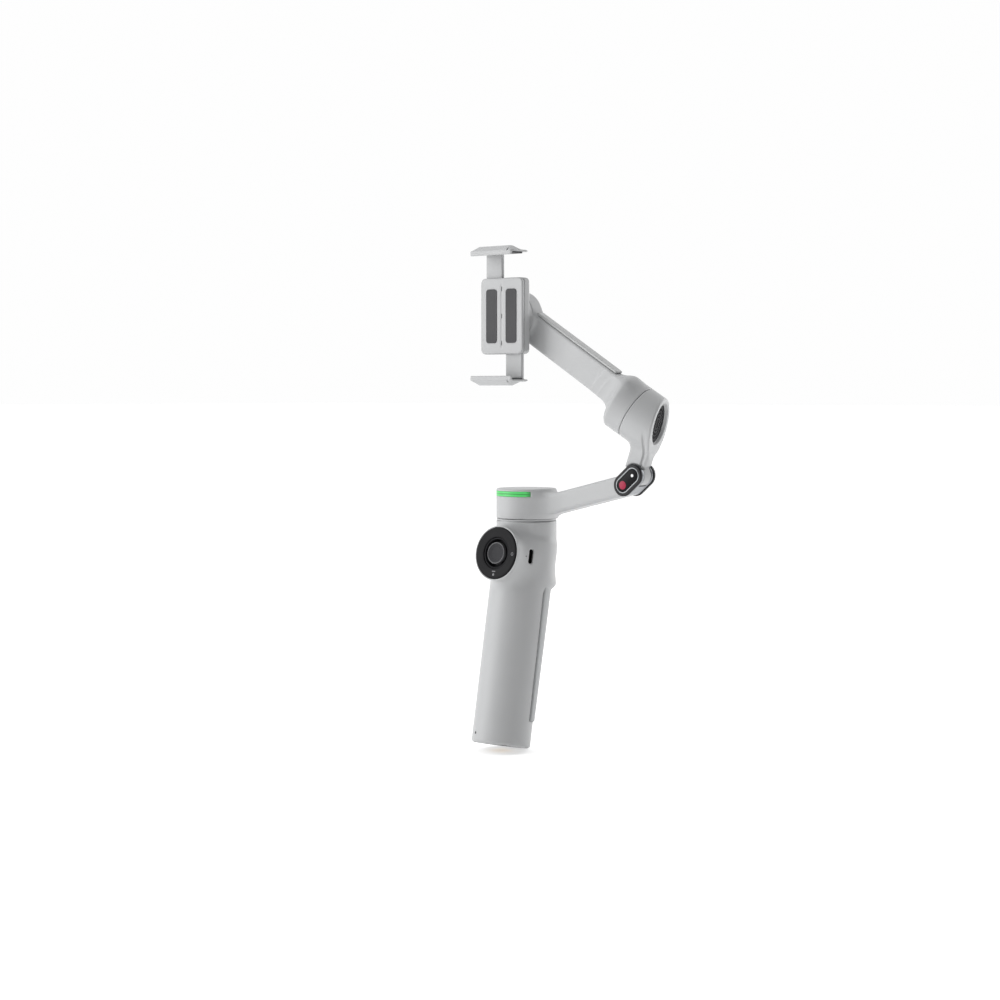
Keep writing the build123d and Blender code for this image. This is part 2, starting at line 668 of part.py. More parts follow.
pan_hollow = rotor_hollow(pan_plane, PAN_SHAFT)
with BuildPart() as pan_housing:
    # radial arm: a bar in side view, cut to its plan outline
    with BuildSketch(upright(PAN_Y - BODY_R)):
        with BuildLine():
            bar_outline(ARM_START, knuckle_low, -ARM_HALF, ARM_HALF)
        make_face()
    extrude(amount=-2 * BODY_R)
    with BuildSketch(level(PAN_LOW)):
        with BuildLine():
            half = (ARM_REAR - ARM_FRONT) / 2
            near = Spline((0, -ROOT_HALF), (ROOT_END, -half), tangents=[(1, 0), (1, 0)])
            tip = Polyline(near @ 1, (HINGE_X, -half), (HINGE_X, half), (ROOT_END, half))
            far = Spline(tip @ 1, (0, ROOT_HALF), tangents=[(-1, 0), (-1, 0)])
            Line(far @ 1, near @ 0)
        make_face()
    extrude(amount=HINGE_Z - PAN_LOW, mode=Mode.INTERSECT)
    # knuckle with its two cheeks
    with BuildSketch(upright(ARM_FRONT)):
        with Locations(knuckle_mid):
            SlotCenterToCenter(KNUCKLE_LENGTH, 2 * KNUCKLE_R, rotation=KNUCKLE_ANGLE)
    extrude(amount=ARM_FRONT - ARM_REAR)
    # body of the housing, hollow below, with its light band and top cap seats
    with BuildSketch(level(PAN_LOW)):
        Circle(HEAD_R)
    extrude(amount=PAN_TOP - PAN_LOW)
    top_rim = pan_housing.edges().filter_by_position(Axis.Z, PAN_TOP - RUN, PAN_TOP + RUN)
    fillet(top_rim, radius=TOP_ROUND)
    with BuildSketch(level(PAN_LOW)):
        Circle(SEAT_R)
    extrude(amount=PAN_SEAM - PAN_LOW, mode=Mode.SUBTRACT)
    add(pan_hollow, mode=Mode.SUBTRACT)
    with BuildSketch(level(LIGHT_LOW)):
        Circle(HEAD_R + WALL)
        Circle(HEAD_R - WALL, mode=Mode.SUBTRACT)
        with BuildLine():
            wedge_outline(LIGHT_ANGLE, -90)
        make_face(mode=Mode.INTERSECT)
    extrude(amount=LIGHT_TOP - LIGHT_LOW, mode=Mode.SUBTRACT)
    with BuildSketch(level(PAN_TOP - CAP_SEAT)):
        Circle(TOP_CAP_R + RUN)
    extrude(amount=CAP_SEAT, mode=Mode.SUBTRACT)
    # room for the upper arm's tongue, and the hinge pin's bore
    with BuildSketch(upright(TONGUE_FRONT - GAP)):
        with Locations((HINGE_X, HINGE_Z)):
            Circle(KNUCKLE_R + GAP)
    extrude(amount=TONGUE_FRONT - TONGUE_REAR - 2 * GAP, mode=Mode.SUBTRACT)
    with BuildSketch(upright(ARM_FRONT)):
        with Locations((HINGE_X, HINGE_Z)):
            Circle(PIN_R)
    extrude(amount=ARM_FRONT - ARM_REAR, mode=Mode.SUBTRACT)
finish(pan_housing, "pan_housing")

with BuildPart() as pan_top_cap:
    with BuildSketch(level(PAN_TOP - CAP_SEAT)):
        Circle(TOP_CAP_R)
    extrude(amount=CAP_SEAT)
    fillet(pan_top_cap.edges().sort_by(Axis.Z)[-1], radius=GAP)
finish(pan_top_cap, "pan_top_cap")

with BuildPart() as status_light:
    with BuildSketch(level(LIGHT_LOW + RUN)):
        Circle(HEAD_R)
        Circle(HEAD_R - WALL + RUN, mode=Mode.SUBTRACT)
        with BuildLine():
            wedge_outline(LIGHT_ANGLE - 1, -90)
        make_face(mode=Mode.INTERSECT)
    extrude(amount=LIGHT_TOP - LIGHT_LOW - 2 * RUN)
finish(status_light, "status_light")

# ---------------------------------------------------------------- fold knuckle
with BuildPart() as knuckle_front_cap:
    with BuildSketch(upright(ARM_FRONT - CAP_T)):
        with Locations(knuckle_mid):
            SlotCenterToCenter(KNUCKLE_LENGTH, 2 * KNUCKLE_R - 2 * GAP, rotation=KNUCKLE_ANGLE)
    extrude(amount=-CAP_T)
    fillet(knuckle_front_cap.faces().sort_by(Axis.Y)[0].edges(), radius=GAP)
    with BuildSketch(upright(ARM_FRONT - CAP_T)):
        with Locations(knuckle_mid):
            SlotCenterToCenter(KNUCKLE_LENGTH, 2 * TRIM_R + 2 * RUN, rotation=KNUCKLE_ANGLE)
    extrude(amount=-CAP_T / 2, mode=Mode.SUBTRACT)
finish(knuckle_front_cap, "knuckle_front_cap")

with BuildPart() as knuckle_rear_cap:
    with BuildSketch(upright(ARM_REAR)):
        with Locations(knuckle_mid):
            SlotCenterToCenter(KNUCKLE_LENGTH, 2 * KNUCKLE_R, rotation=KNUCKLE_ANGLE)
    extrude(amount=-CAP_T)
    fillet(knuckle_rear_cap.faces().sort_by(Axis.Y)[-1].edges(), radius=GAP)
finish(knuckle_rear_cap, "knuckle_rear_cap")

with BuildPart() as knuckle_trim:
    with BuildSketch(upright(ARM_FRONT - CAP_T - GAP)):
        with Locations(knuckle_mid):
            SlotCenterToCenter(KNUCKLE_LENGTH, 2 * TRIM_R, rotation=KNUCKLE_ANGLE)
            SlotCenterToCenter(
                KNUCKLE_LENGTH, 2 * TRIM_R - 2 * TRIM_T, rotation=KNUCKLE_ANGLE, mode=Mode.SUBTRACT
            )
    extrude(amount=-CAP_T / 2 - GAP)
finish(knuckle_trim, "knuckle_trim")

with BuildPart() as knuckle_lens:
    with BuildSketch(upright(ARM_FRONT - CAP_T)):
        with Locations(knuckle_mid):
            SlotCenterToCenter(
                KNUCKLE_LENGTH, 2 * TRIM_R - 2 * TRIM_T - 2 * RUN, rotation=KNUCKLE_ANGLE
            )
        with Locations(knuckle_low, knuckle_high):
            Circle(INLAY_R + RUN, mode=Mode.SUBTRACT)
    extrude(amount=-CAP_T / 2)
finish(knuckle_lens, "knuckle_lens")

for centre, name in ((knuckle_low, "knuckle_red_inlay"), (knuckle_high, "knuckle_white_inlay")):
    with BuildPart() as inlay:
        with BuildSketch(upright(ARM_FRONT - CAP_T)):
            with Locations(centre):
                Circle(INLAY_R)
        extrude(amount=-CAP_T / 2)
    finish(inlay, name)

with BuildPart() as fold_pin:
    with BuildSketch(upright(ARM_FRONT + RUN)):
        with Locations((HINGE_X, HINGE_Z)):
            Circle(PIN_R)
    extrude(amount=ARM_FRONT - ARM_REAR + 2 * RUN)
finish(fold_pin, "fold_pin")

# ---------------------------------------------------------------- upper arm and tilt motor
tilt_stator_hollow = stator_hollow(tilt_plane)
with BuildPart() as upper_arm:
    with BuildSketch(upright(UPPER_FRONT)):
        with BuildLine():
            Polyline(*UPPER_OUTLINE, close=True)
        make_face()
    extrude(amount=UPPER_FRONT - UPPER_REAR)
    # stator cup of the tilt motor; its slanted end runs on into the arm's side
    with BuildSketch(tilt_plane.offset(-TILT_CUP)):
        Circle(TILT_R)
    extrude(amount=TILT_CUP)
    with BuildSketch(tilt_end):
        Rectangle(4 * TILT_CUP, 4 * TILT_CUP)
    extrude(amount=2 * TILT_CUP, mode=Mode.SUBTRACT)
    with BuildSketch(upright(UPPER_FRONT)):
        with Locations((HINGE_X, HINGE_Z)):
            Circle(KNUCKLE_R + 2 * GAP)
    extrude(amount=UPPER_FRONT - UPPER_REAR, mode=Mode.SUBTRACT)
    # tongue between the knuckle's cheeks
    with BuildSketch(upright(TONGUE_FRONT)):
        with Locations((HINGE_X, HINGE_Z)):
            Circle(KNUCKLE_R)
        with Locations((HINGE_X, HINGE_Z + KNUCKLE_R)):
            Rectangle(TONGUE_NECK, 2 * KNUCKLE_R)
    extrude(amount=TONGUE_FRONT - TONGUE_REAR)
    with BuildSketch(upright(TONGUE_FRONT)):
        with Locations((HINGE_X, HINGE_Z)):
            Circle(PIN_R + RUN)
    extrude(amount=TONGUE_FRONT - TONGUE_REAR, mode=Mode.SUBTRACT)
    # inside of the cup, and the vent in its end
    add(tilt_stator_hollow, mode=Mode.SUBTRACT)
    with BuildSketch(tilt_end):
        with Locations((VENT_RISE, 0)):
            Circle(VENT_R + RUN)
    extrude(amount=-VENT_DEPTH, mode=Mode.SUBTRACT)
finish(upper_arm, "upper_arm")
motor(tilt_plane, "tilt", TILT_SHAFT)

with BuildPart() as vent_grille:
    with BuildSketch(tilt_end.offset(-VENT_DEPTH)):
        with Locations((VENT_RISE, 0)):
            Circle(VENT_R)
            Circle(VENT_HOLE_R, mode=Mode.SUBTRACT)
            for ring in range(1, VENT_RINGS + 1):
                with PolarLocations(ring * VENT_PITCH, VENT_FIRST * ring):
                    Circle(VENT_HOLE_R, mode=Mode.SUBTRACT)
    extrude(amount=VENT_T)
finish(vent_grille, "vent_grille")

# ---------------------------------------------------------------- inner arm and roll motor
tilt_rotor_hollow = rotor_hollow(tilt_plane, TILT_SHAFT)
roll_stator_hollow = stator_hollow(roll_plane)
with BuildPart() as inner_arm:
    with BuildSketch(upright(INNER_FRONT)):
        with BuildLine():
            bar_outline(INNER_START, (0, PHONE_Z), -INNER_HALF, INNER_HALF)
        make_face()
    extrude(amount=INNER_FRONT - INNER_REAR)
    with BuildSketch(tilt_plane.offset(GAP)):
        Circle(TILT_R)
    extrude(amount=ROTOR_LENGTH)
    add(tilt_rotor_hollow, mode=Mode.SUBTRACT)
    with BuildSketch(roll_plane.offset(-MOTOR_DEPTH)):
        Circle(MOTOR_R)
    extrude(amount=MOTOR_DEPTH)
    add(roll_stator_hollow, mode=Mode.SUBTRACT)
finish(inner_arm, "inner_arm")
motor(roll_plane, "roll", ROLL_SHAFT)

with BuildPart() as inner_arm_strip:
    inward = (Vector(INNER_START) - Vector(0, PHONE_Z)).normalized()
    near, far = (Vector(0, PHONE_Z) + inward * span for span in STRIP_SPAN)
    with BuildSketch(upright(INNER_FRONT + STRIP_INSET)):
        with BuildLine():
            bar_outline(far, near, -INNER_HALF - STRIP_T, -INNER_HALF)
        make_face()
    extrude(amount=INNER_FRONT - INNER_REAR + 2 * STRIP_INSET)
finish(inner_arm_strip, "inner_arm_strip")

# ---------------------------------------------------------------- phone clamp
roll_rotor_hollow = rotor_hollow(roll_plane, ROLL_SHAFT)
with BuildPart() as roll_rotor_plate:
    with BuildSketch(roll_plane.offset(GAP)):
        Circle(MOTOR_R)
    extrude(amount=ROLL_SEAM - GAP - CLAMP_REAR)
    add(roll_rotor_hollow, mode=Mode.SUBTRACT)
finish(roll_rotor_plate, "roll_rotor_plate")

screw_spots = [(0, PHONE_Z + step * CLAMP_SCREW_STEP) for step in (-1, 0, 1)]
cover_rear = CLAMP_FRONT + COVER_T
channel_rear = cover_rear + RAIL_T + 2 * GAP

with BuildPart() as clamp_body:
    with BuildSketch(upright(cover_rear)):
        with Locations((0, PHONE_Z)):
            RectangleRounded(2 * CLAMP_HALF, 2 * CLAMP_BODY_HALF, CLAMP_ROUND)
    extrude(amount=cover_rear - CLAMP_REAR)
    with BuildSketch(upright(cover_rear)):
        for side in (-1, 1):
            middle_x = side * (RAIL_IN + RAIL_OUT) / 2
            with Locations((middle_x, PHONE_Z - side * (CLAMP_BODY_HALF - CHANNEL_END) / 2 - side * GAP)):
                Rectangle(RAIL_OUT - RAIL_IN + 2 * GAP, CLAMP_BODY_HALF + CHANNEL_END + 2 * GAP)
    extrude(amount=cover_rear - channel_rear, mode=Mode.SUBTRACT)
    with BuildSketch(upright(channel_rear)):
        with Locations((-(RAIL_IN + RAIL_OUT) / 2, PHONE_Z), ((RAIL_IN + RAIL_OUT) / 2, PHONE_Z)):
            Circle(DRUM_R + GAP)
    extrude(amount=-RAIL_T, mode=Mode.SUBTRACT)
    with BuildSketch(upright(cover_rear)):
        with Locations(*screw_spots):
            Circle(CLAMP_SCREW_R)
    extrude(amount=-RAIL_T, mode=Mode.SUBTRACT)
finish(clamp_body, "clamp_body")

with BuildPart() as clamp_cover:
    with BuildSketch(upright(CLAMP_FRONT)):
        with Locations((0, PHONE_Z)):
            RectangleRounded(2 * CLAMP_HALF, 2 * CLAMP_BODY_HALF, CLAMP_ROUND)
        with Locations(*screw_spots):
            Circle(CLAMP_SCREW_R, mode=Mode.SUBTRACT)
    extrude(amount=-COVER_T)
    with BuildSketch(upright(CLAMP_FRONT)):
        with Locations(*screw_spots):
            Circle(2 * CLAMP_SCREW_R + RUN)
    extrude(amount=-COVER_T / 2, mode=Mode.SUBTRACT)
finish(clamp_cover, "clamp_cover")

with BuildPart() as clamp_screws:
    with BuildSketch(upright(CLAMP_FRONT + GAP)):
        with Locations(*screw_spots):
            Circle(2 * CLAMP_SCREW_R)
    extrude(amount=GAP - COVER_T / 2)
    with BuildSketch(upright(CLAMP_FRONT + GAP)):
        with Locations(*screw_spots):
            Circle(CLAMP_SCREW_R - RUN)
    extrude(amount=-COVER_T - RAIL_T + 2 * GAP)
finish(clamp_screws, "clamp_screws")

with BuildPart() as clamp_spring_drums:
    with BuildSketch(upright(channel_rear + RUN)):
        with Locations((-(RAIL_IN + RAIL_OUT) / 2, PHONE_Z), ((RAIL_IN + RAIL_OUT) / 2, PHONE_Z)):
            Circle(DRUM_R)
            Circle(DRUM_R / 2, mode=Mode.SUBTRACT)
    extrude(amount=-RAIL_T + 2 * RUN)
finish(clamp_spring_drums, "clamp_spring_drums")

with BuildPart() as clamp_face_pads:
    with BuildSketch(upright(CLAMP_FRONT - FACE_PAD_T)):
        with Locations((-(RAIL_IN + RAIL_OUT) / 2, PHONE_Z), ((RAIL_IN + RAIL_OUT) / 2, PHONE_Z)):
            RectangleRounded(CLAMP_HALF / 2, CLAMP_HALF * 2, FACE_PAD_ROUND)
    extrude(amount=-FACE_PAD_T)
finish(clamp_face_pads, "clamp_face_pads")

for side, name in ((1, "upper"), (-1, "lower")):
    pad_face = PHONE_Z + side * PHONE_WIDTH / 2
    under = pad_face + side * PAD_T
    top = under + side * JAW_T
    shoulder = under + side * JAW_SHOULDER
    lip_end = pad_face - side * LIP_DROP
    with BuildPart() as jaw:
        with BuildSketch(Plane.YZ.offset(-CLAMP_HALF)):
            with BuildLine():
                Polyline(
                    (-JAW_REACH, shoulder),
                    (JAW_RIDGE[0], top),
                    (JAW_RIDGE[1], top),
                    (JAW_TAIL_Y, under + side * JAW_TAIL_T),
                    (JAW_REAR, under + side * JAW_TAIL_T),
                    (JAW_REAR, under),
                    (LIP_T - JAW_REACH, under),
                    (LIP_T - JAW_REACH, lip_end),
                    (-JAW_REACH, lip_end),
                    close=True,
                )
            make_face()
        extrude(amount=2 * CLAMP_HALF)
        with BuildSketch(upright(JAW_REAR)):
            with BuildLine():
                Polyline(
                    (-CLAMP_HALF, lip_end),
                    (-CLAMP_HALF, shoulder),
                    (JAW_END_SLOPE - CLAMP_HALF, top),
                    (CLAMP_HALF - JAW_END_SLOPE, top),
                    (CLAMP_HALF, shoulder),
                    (CLAMP_HALF, lip_end),
                    close=True,
                )
            make_face()
        extrude(amount=JAW_REACH + JAW_REAR, mode=Mode.INTERSECT)
        top_edges = jaw.faces().sort_by(Axis.Z)[-1 if side > 0 else 0].edges()
        fillet(top_edges, radius=JAW_ROUND)
        with Locations((SLIT_X, -JAW_REACH, under + side * SLIT_RISE)):
            Box(*SLIT, mode=Mode.SUBTRACT)
        with BuildSketch(upright(cover_rear + GAP)):
            rail_end = PHONE_Z - side * RAIL_END
            with Locations((-side * (RAIL_IN + RAIL_OUT) / 2, (rail_end + under) / 2 + side * GAP)):
                Rectangle(RAIL_OUT - RAIL_IN, abs(under - rail_end) + 2 * GAP)
        extrude(amount=-RAIL_T)
    finish(jaw, f"{name}_jaw")

    with BuildPart() as jaw_pad:
        with BuildSketch(Plane.XY.offset(pad_face)):
            with Locations((0, (LIP_T - JAW_REACH + cover_rear) / 2)):
                RectangleRounded(
                    2 * CLAMP_HALF - 2 * PAD_T, cover_rear - LIP_T + JAW_REACH - 2 * GAP, PAD_T
                )
        extrude(amount=side * PAD_T)
    finish(jaw_pad, f"{name}_jaw_pad")
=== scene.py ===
import json
import math

import bmesh
import bpy
import numpy as np
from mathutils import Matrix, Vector


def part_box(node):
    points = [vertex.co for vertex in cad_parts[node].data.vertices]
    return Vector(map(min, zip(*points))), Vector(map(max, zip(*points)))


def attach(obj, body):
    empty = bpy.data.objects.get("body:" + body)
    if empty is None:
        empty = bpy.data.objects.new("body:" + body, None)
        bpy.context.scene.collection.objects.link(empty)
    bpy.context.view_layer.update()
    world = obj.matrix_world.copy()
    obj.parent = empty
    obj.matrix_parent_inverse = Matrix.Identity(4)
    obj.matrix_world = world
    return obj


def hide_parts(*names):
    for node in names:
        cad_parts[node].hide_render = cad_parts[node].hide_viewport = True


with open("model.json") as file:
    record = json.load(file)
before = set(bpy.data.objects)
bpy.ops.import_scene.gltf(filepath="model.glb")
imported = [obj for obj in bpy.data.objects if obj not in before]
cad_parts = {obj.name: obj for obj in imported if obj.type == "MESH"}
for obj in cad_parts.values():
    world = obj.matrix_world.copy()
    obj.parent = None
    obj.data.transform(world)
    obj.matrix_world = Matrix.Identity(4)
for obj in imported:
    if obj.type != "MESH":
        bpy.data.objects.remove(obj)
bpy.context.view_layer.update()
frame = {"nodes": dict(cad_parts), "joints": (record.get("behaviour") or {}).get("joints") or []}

# Shapes are worked out in millimetres as distance fields and skinned; meshes are stored in metres.
MM = 0.001
PLAIN, FINE = 0.55, 0.45  # skin spacing
RIM = 0.2  # softening of small rims
CORE = 0.05  # radius at which the profile of a solid turned piece starts and ends


# ------------------------------------------------------------------ places from the frame
JOINT = {j["name"]: j for j in frame["joints"]}


def anchor(joint):
    """A point on the joint's axis."""
    return np.array(JOINT[joint]["pos_m"], float) / MM


def axis(joint):
    """The joint's direction, one long."""
    a = np.array(JOINT[joint]["axis"], float)
    return a / np.linalg.norm(a)


def corners(*nodes):
    """Lowest and highest corners of the box round all the nodes."""
    boxes = [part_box(n) for n in nodes]
    return (np.min([np.array(b[0]) for b in boxes], 0) / MM,
            np.max([np.array(b[1]) for b in boxes], 0) / MM)


class Place:
    """A local frame: origin in mm, z along an axis, x as near as possible to a given direction."""

    def __init__(self, origin, z, x=(1, 0, 0)):
        self.origin = np.array(origin, float)
        z = np.array(z, float) / np.linalg.norm(z)
        x = np.array(x, float)
        x = x - z * (x @ z)
        x /= np.linalg.norm(x)
        self.rows = np.array([x, np.cross(z, x), z])

    def local(self, p):
        return ((p - self.origin) @ self.rows.T).T

    def world(self, q):
        return np.asarray(q, float) @ self.rows + self.origin

    def moved(self, x=0.0, y=0.0, z=0.0):
        return Place(self.world((x, y, z)), self.rows[2], self.rows[0])


ROD_AXIS = axis("rod_out")
GRIP = Place((0, 0, 0), ROD_AXIS)
PAN_XY = (corners("pan_stator")[0] + corners("pan_stator")[1]) / 2
PAN = Place((PAN_XY[0], PAN_XY[1], 0), (0, 0, 1))
HINGE = anchor("fold")
TILT = Place(anchor("tilt"), -axis("tilt"), (0, 1, 0))
ROLL = Place(anchor("roll"), (0, -1, 0))
BODY_R, HEAD_R = 19.0, 19.15  # grip and head
HEAD_LOW, HEAD_TOP = 97.0, 140.0
CONTROL_S, CONTROL_T = 117.9, 27.0  # middle of the control, up the grip and out to its front
PIN_TURN, PORT_TURN, DOT_TURN = 23.0, -38.0, -47.0  # degrees round the grip
PIN_S, DOT_S = 6, 118  # up the grip
CONTROL = Place(GRIP.world((0, -CONTROL_T, CONTROL_S)), -GRIP.rows[1])
PAN_LOW = corners("pan_housing")[0][2]
PAN_TOP = corners("pan_top_cap")[1][2]
LIGHT_LOW, LIGHT_TOP = (c[2] for c in corners("status_light"))
LIGHT_MIDDLE = (LIGHT_LOW + LIGHT_TOP) / 2
ROLL_R, TILT_R = 16.0, 17.3  # motor housings
MOTOR_BORE, MOTOR_DEPTH = 13.2, 9
END_NORMAL = np.array([0.915, 0.324, -0.243])  # of the slanted end with the vent
TILT_END = 17.5
END = TILT.origin + TILT_END * axis("tilt")
VENT = Place(sum(corners("vent_grille")) / 2, END_NORMAL, (0, 0, 1))
ARM_FRONT, ARM_REAR = 19.6, 32.0
CHEEKS = (22.0, 29.6)  # gap between the knuckle's cheeks, in Y
TONGUE, TONGUE_R = (22.4, 29.2), 6.5  # upper arm's tongue between them
KNUCKLE_R, KNUCKLE_LENGTH, KNUCKLE_ANGLE = 6.6, 9.4, math.radians(40)
SLANT = np.array([math.cos(KNUCKLE_ANGLE), math.sin(KNUCKLE_ANGLE)])
KNUCKLE_HIGH = HINGE[[0, 2]]
KNUCKLE_LOW = KNUCKLE_HIGH - KNUCKLE_LENGTH * SLANT


# ------------------------------------------------------------------ distance fields
def join(a, b, k):
    """Union with a soft fillet k wide."""
    h = np.maximum(k - np.abs(a - b), 0) / k
    return np.minimum(a, b) - h * h * k / 4


def both(a, b, k=0.0):
    """Intersection, softened."""
    return -join(-a, -b, k) if k else np.maximum(a, b)


def cut(a, b, k=0.0):
    """a without b, with the rim softened."""
    return both(a, -b, k)


def slab(flat, along, low, high, edge=0.0):
    """A flat outline's distance carried from low to high, with rounded edges."""
    a = flat + edge
    b = np.abs(along - (low + high) / 2) - (high - low) / 2 + edge
    return np.minimum(np.maximum(a, b), 0) + np.hypot(np.maximum(a, 0), np.maximum(b, 0)) - edge


def block(x, y, half_x, half_y, edge=0.0):
    """Distance to a rectangle round the middle, with rounded corners."""
    a, b = np.abs(x) - half_x + edge, np.abs(y) - half_y + edge
    return np.minimum(np.maximum(a, b), 0) + np.hypot(np.maximum(a, 0), np.maximum(b, 0)) - edge


def stadium(x, y, a, b, radius):
    """Distance to a line from a to b, thickened."""
    a, b = np.asarray(a, float), np.asarray(b, float)
    d = b - a
    t = np.clip(((x - a[0]) * d[0] + (y - a[1]) * d[1]) / (d @ d), 0, 1)
    return np.hypot(x - a[0] - t * d[0], y - a[1] - t * d[1]) - radius


def polygon(x, y, points):
    """Signed distance to a closed outline."""
    best, inside = np.full(x.shape, np.inf), np.zeros(x.shape, bool)
    for (ax, ay), (bx, by) in zip(points, points[1:] + points[:1]):
        dx, dy = bx - ax, by - ay
        t = np.clip(((x - ax) * dx + (y - ay) * dy) / (dx * dx + dy * dy), 0, 1)
        best = np.minimum(best, np.hypot(x - ax - t * dx, y - ay - t * dy))
        if dy:
            inside ^= ((ay > y) != (by > y)) & (x < dx * (y - ay) / dy + ax)
    return np.where(inside, -best, best)


def wedge(x, y, degrees):
    """Negative inside a sector of that angle about +y."""
    half = np.radians(degrees / 2)
    return np.abs(x) * np.cos(half) - y * np.sin(half)


def ease(x, low, high):
    """Smooth step from 0 at low to 1 at high."""
    t = np.clip((x - low) / (high - low), 0, 1)
    return t * t * (3 - 2 * t)


# ------------------------------------------------------------------ skinning
FAR = 1e3  # stands for the distance where it isn't worked out
BATCH = 400000  # points worked out at a time
PULLS = 3  # steps that bring the skin's points onto the surface


def sample(field, axes, step, coarse=6):
    """Field values at the grid points, worked out only near the surface."""
    shape = [len(a) for a in axes]
    blocks = [np.arange(0, n, coarse) for n in shape]
    mid = [a[np.minimum(b + coarse // 2, len(a) - 1)] for a, b in zip(axes, blocks)]
    centres = np.stack(np.meshgrid(*mid, indexing="ij"), -1).reshape(-1, 3)
    rough = field(centres).reshape([len(b) for b in blocks])
    near = np.abs(rough) < coarse * step * 1.25

    def grow(a):
        a = a.repeat(coarse, 0).repeat(coarse, 1).repeat(coarse, 2)
        return a[: shape[0], : shape[1], : shape[2]]

    values = grow(np.where(rough < 0, -FAR, FAR))
    spots = np.nonzero(grow(near))
    points = np.stack([a[i] for a, i in zip(axes, spots)], -1)
    parts = np.array_split(points, len(points) // BATCH + 1)
    values[spots] = np.concatenate([field(part) for part in parts])
    return values


def slope(field, p, h=0.02):
    """The field's gradient."""
    steps = np.eye(3) * h
    return np.stack([field(p + s) - field(p - s) for s in steps], -1) / (2 * h)


def skin(field, low, high, step):
    """Vertices and quads of the surface where the field is zero."""
    low, high = np.asarray(low, float) - 3 * step, np.asarray(high, float) + 3 * step
    axes = [np.arange(low[k], high[k] + step, step) for k in range(3)]
    f = sample(field, axes, step)
    corner = [(i, j, k) for i in (0, 1) for j in (0, 1) for k in (0, 1)]
    n = np.array(f.shape) - 1
    cells = lambda c: f[c[0] : c[0] + n[0], c[1] : c[1] + n[1], c[2] : c[2] + n[2]]
    inside = sum((cells(c) < 0).astype(np.int8) for c in corner)
    active = np.nonzero((inside > 0) & (inside < 8))
    base = np.stack(active, -1)
    total, count = np.zeros((len(base), 3)), np.zeros(len(base))
    for a in corner:
        for k in range(3):
            if a[k]:
                continue
            b = tuple(v + (m == k) for m, v in enumerate(a))
            fa = f[tuple((base + a).T)]
            fb = f[tuple((base + b).T)]
            hit = (fa < 0) != (fb < 0)
            share = np.where(hit, fa / np.where(hit, fa - fb, 1), 0)
            total[hit] += (base + a + share[:, None] * (np.array(b) - a))[hit]
            count += hit
    points = low + step * total / count[:, None]
    for _ in range(PULLS):
        g = slope(field, points)
        move = field(points)[:, None] * g / np.maximum((g * g).sum(-1, keepdims=True), 0.3)
        points = points - np.clip(move, -step / 2, step / 2)
    number = np.full(n, -1)
    number[active] = np.arange(len(base))
    quads = []
    for k in range(3):
        u, v = (k + 1) % 3, (k + 2) % 3
        first = [slice(1, n[m]) for m in range(3)]
        first[k] = slice(0, n[k])
        second = list(first)
        second[k] = slice(1, n[k] + 1)
        fa, fb = f[tuple(first)] < 0, f[tuple(second)] < 0
        at = np.stack(np.nonzero(fa != fb), -1) + [int(m != k) for m in range(3)]
        out = fa[fa != fb]
        unit = np.eye(3, dtype=int)
        around = [at - unit[u] - unit[v], at - unit[v], at, at - unit[u]]
        ring = np.stack([number[tuple(cell.T)] for cell in around], -1)
        quads.append(np.where(out[:, None], ring, ring[:, ::-1]))
    return points, np.concatenate(quads)


def piece(name, points, faces, material, body, *replaced):
    """A mesh in metres that rides on a body, with its finish."""
    mesh = bpy.data.meshes.new(name)
    mesh.from_pydata((np.asarray(points) * MM).tolist(), [], [list(map(int, f)) for f in faces])
    mesh.update()
    mesh.polygons.foreach_set("use_smooth", [True] * len(mesh.polygons))
    mesh.materials.append(material)
    obj = bpy.data.objects.new(name, mesh)
    bpy.context.scene.collection.objects.link(obj)
    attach(obj, body)
    if replaced:
        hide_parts(*replaced)
    return obj


def moulded(name, field, low, high, material, body, *replaced, step=PLAIN):
    """A piece skinned from a distance field between two corners."""
    points, faces = skin(field, low, high, step)
    return piece(name, points, faces, material, body, *replaced)


def turned(name, profile, place, material, body, *replaced, sides=96, closed=True, stretch=0.0):
    """A profile of (radius, height) turned round the place's axis. Stretched, it is a stadium along x."""
    turn = (np.arange(sides) + 0.5) * 2 * math.pi / sides
    shift = np.sign(np.cos(turn)) * stretch / 2
    rings = [np.stack([r * np.cos(turn) + shift, r * np.sin(turn), np.full(sides, h)], -1)
             for r, h in profile]
    points = place.world(np.concatenate(rings))
    count = len(profile)
    spans = [(k, (k + 1) % count) for k in range(count if closed else count - 1)]
    faces = [(a * sides + i, a * sides + (i + 1) % sides, b * sides + (i + 1) % sides, b * sides + i)
             for a, b in spans for i in range(sides)]
    if not closed:
        faces += [tuple(range(sides)), tuple((count - 1) * sides + i for i in range(sides))]
    obj = piece(name, points, faces, material, body, *replaced)
    face_out(obj)
    return sharpen(obj)


def face_out(obj):
    """Turn the faces outwards."""
    work = bmesh.new()
    work.from_mesh(obj.data)
    bmesh.ops.recalc_face_normals(work, faces=work.faces)
    work.to_mesh(obj.data)
    work.free()


EDGE_WIDTH, EDGE_DEGREES = 0.12, 32


def sharpen(obj):
    """Small bevel on the hard edges, with shading that keeps flat faces flat."""
    bevel = obj.modifiers.new("edge", "BEVEL")
    bevel.width = EDGE_WIDTH * MM
    bevel.segments = 2
    bevel.limit_method = "ANGLE"
    bevel.angle_limit = math.radians(EDGE_DEGREES)
    bevel.harden_normals = True
    return obj


# ------------------------------------------------------------------ finishes
NOISE_LOW, NOISE_HIGH = 0.3, 0.7  # the part of a noise's range that shows
GRAIN_SHARE = 0.35  # of the colour's variation, from the fine grain
GLOSS_VARIES = 0.06
BUMP_STRENGTH = 0.6


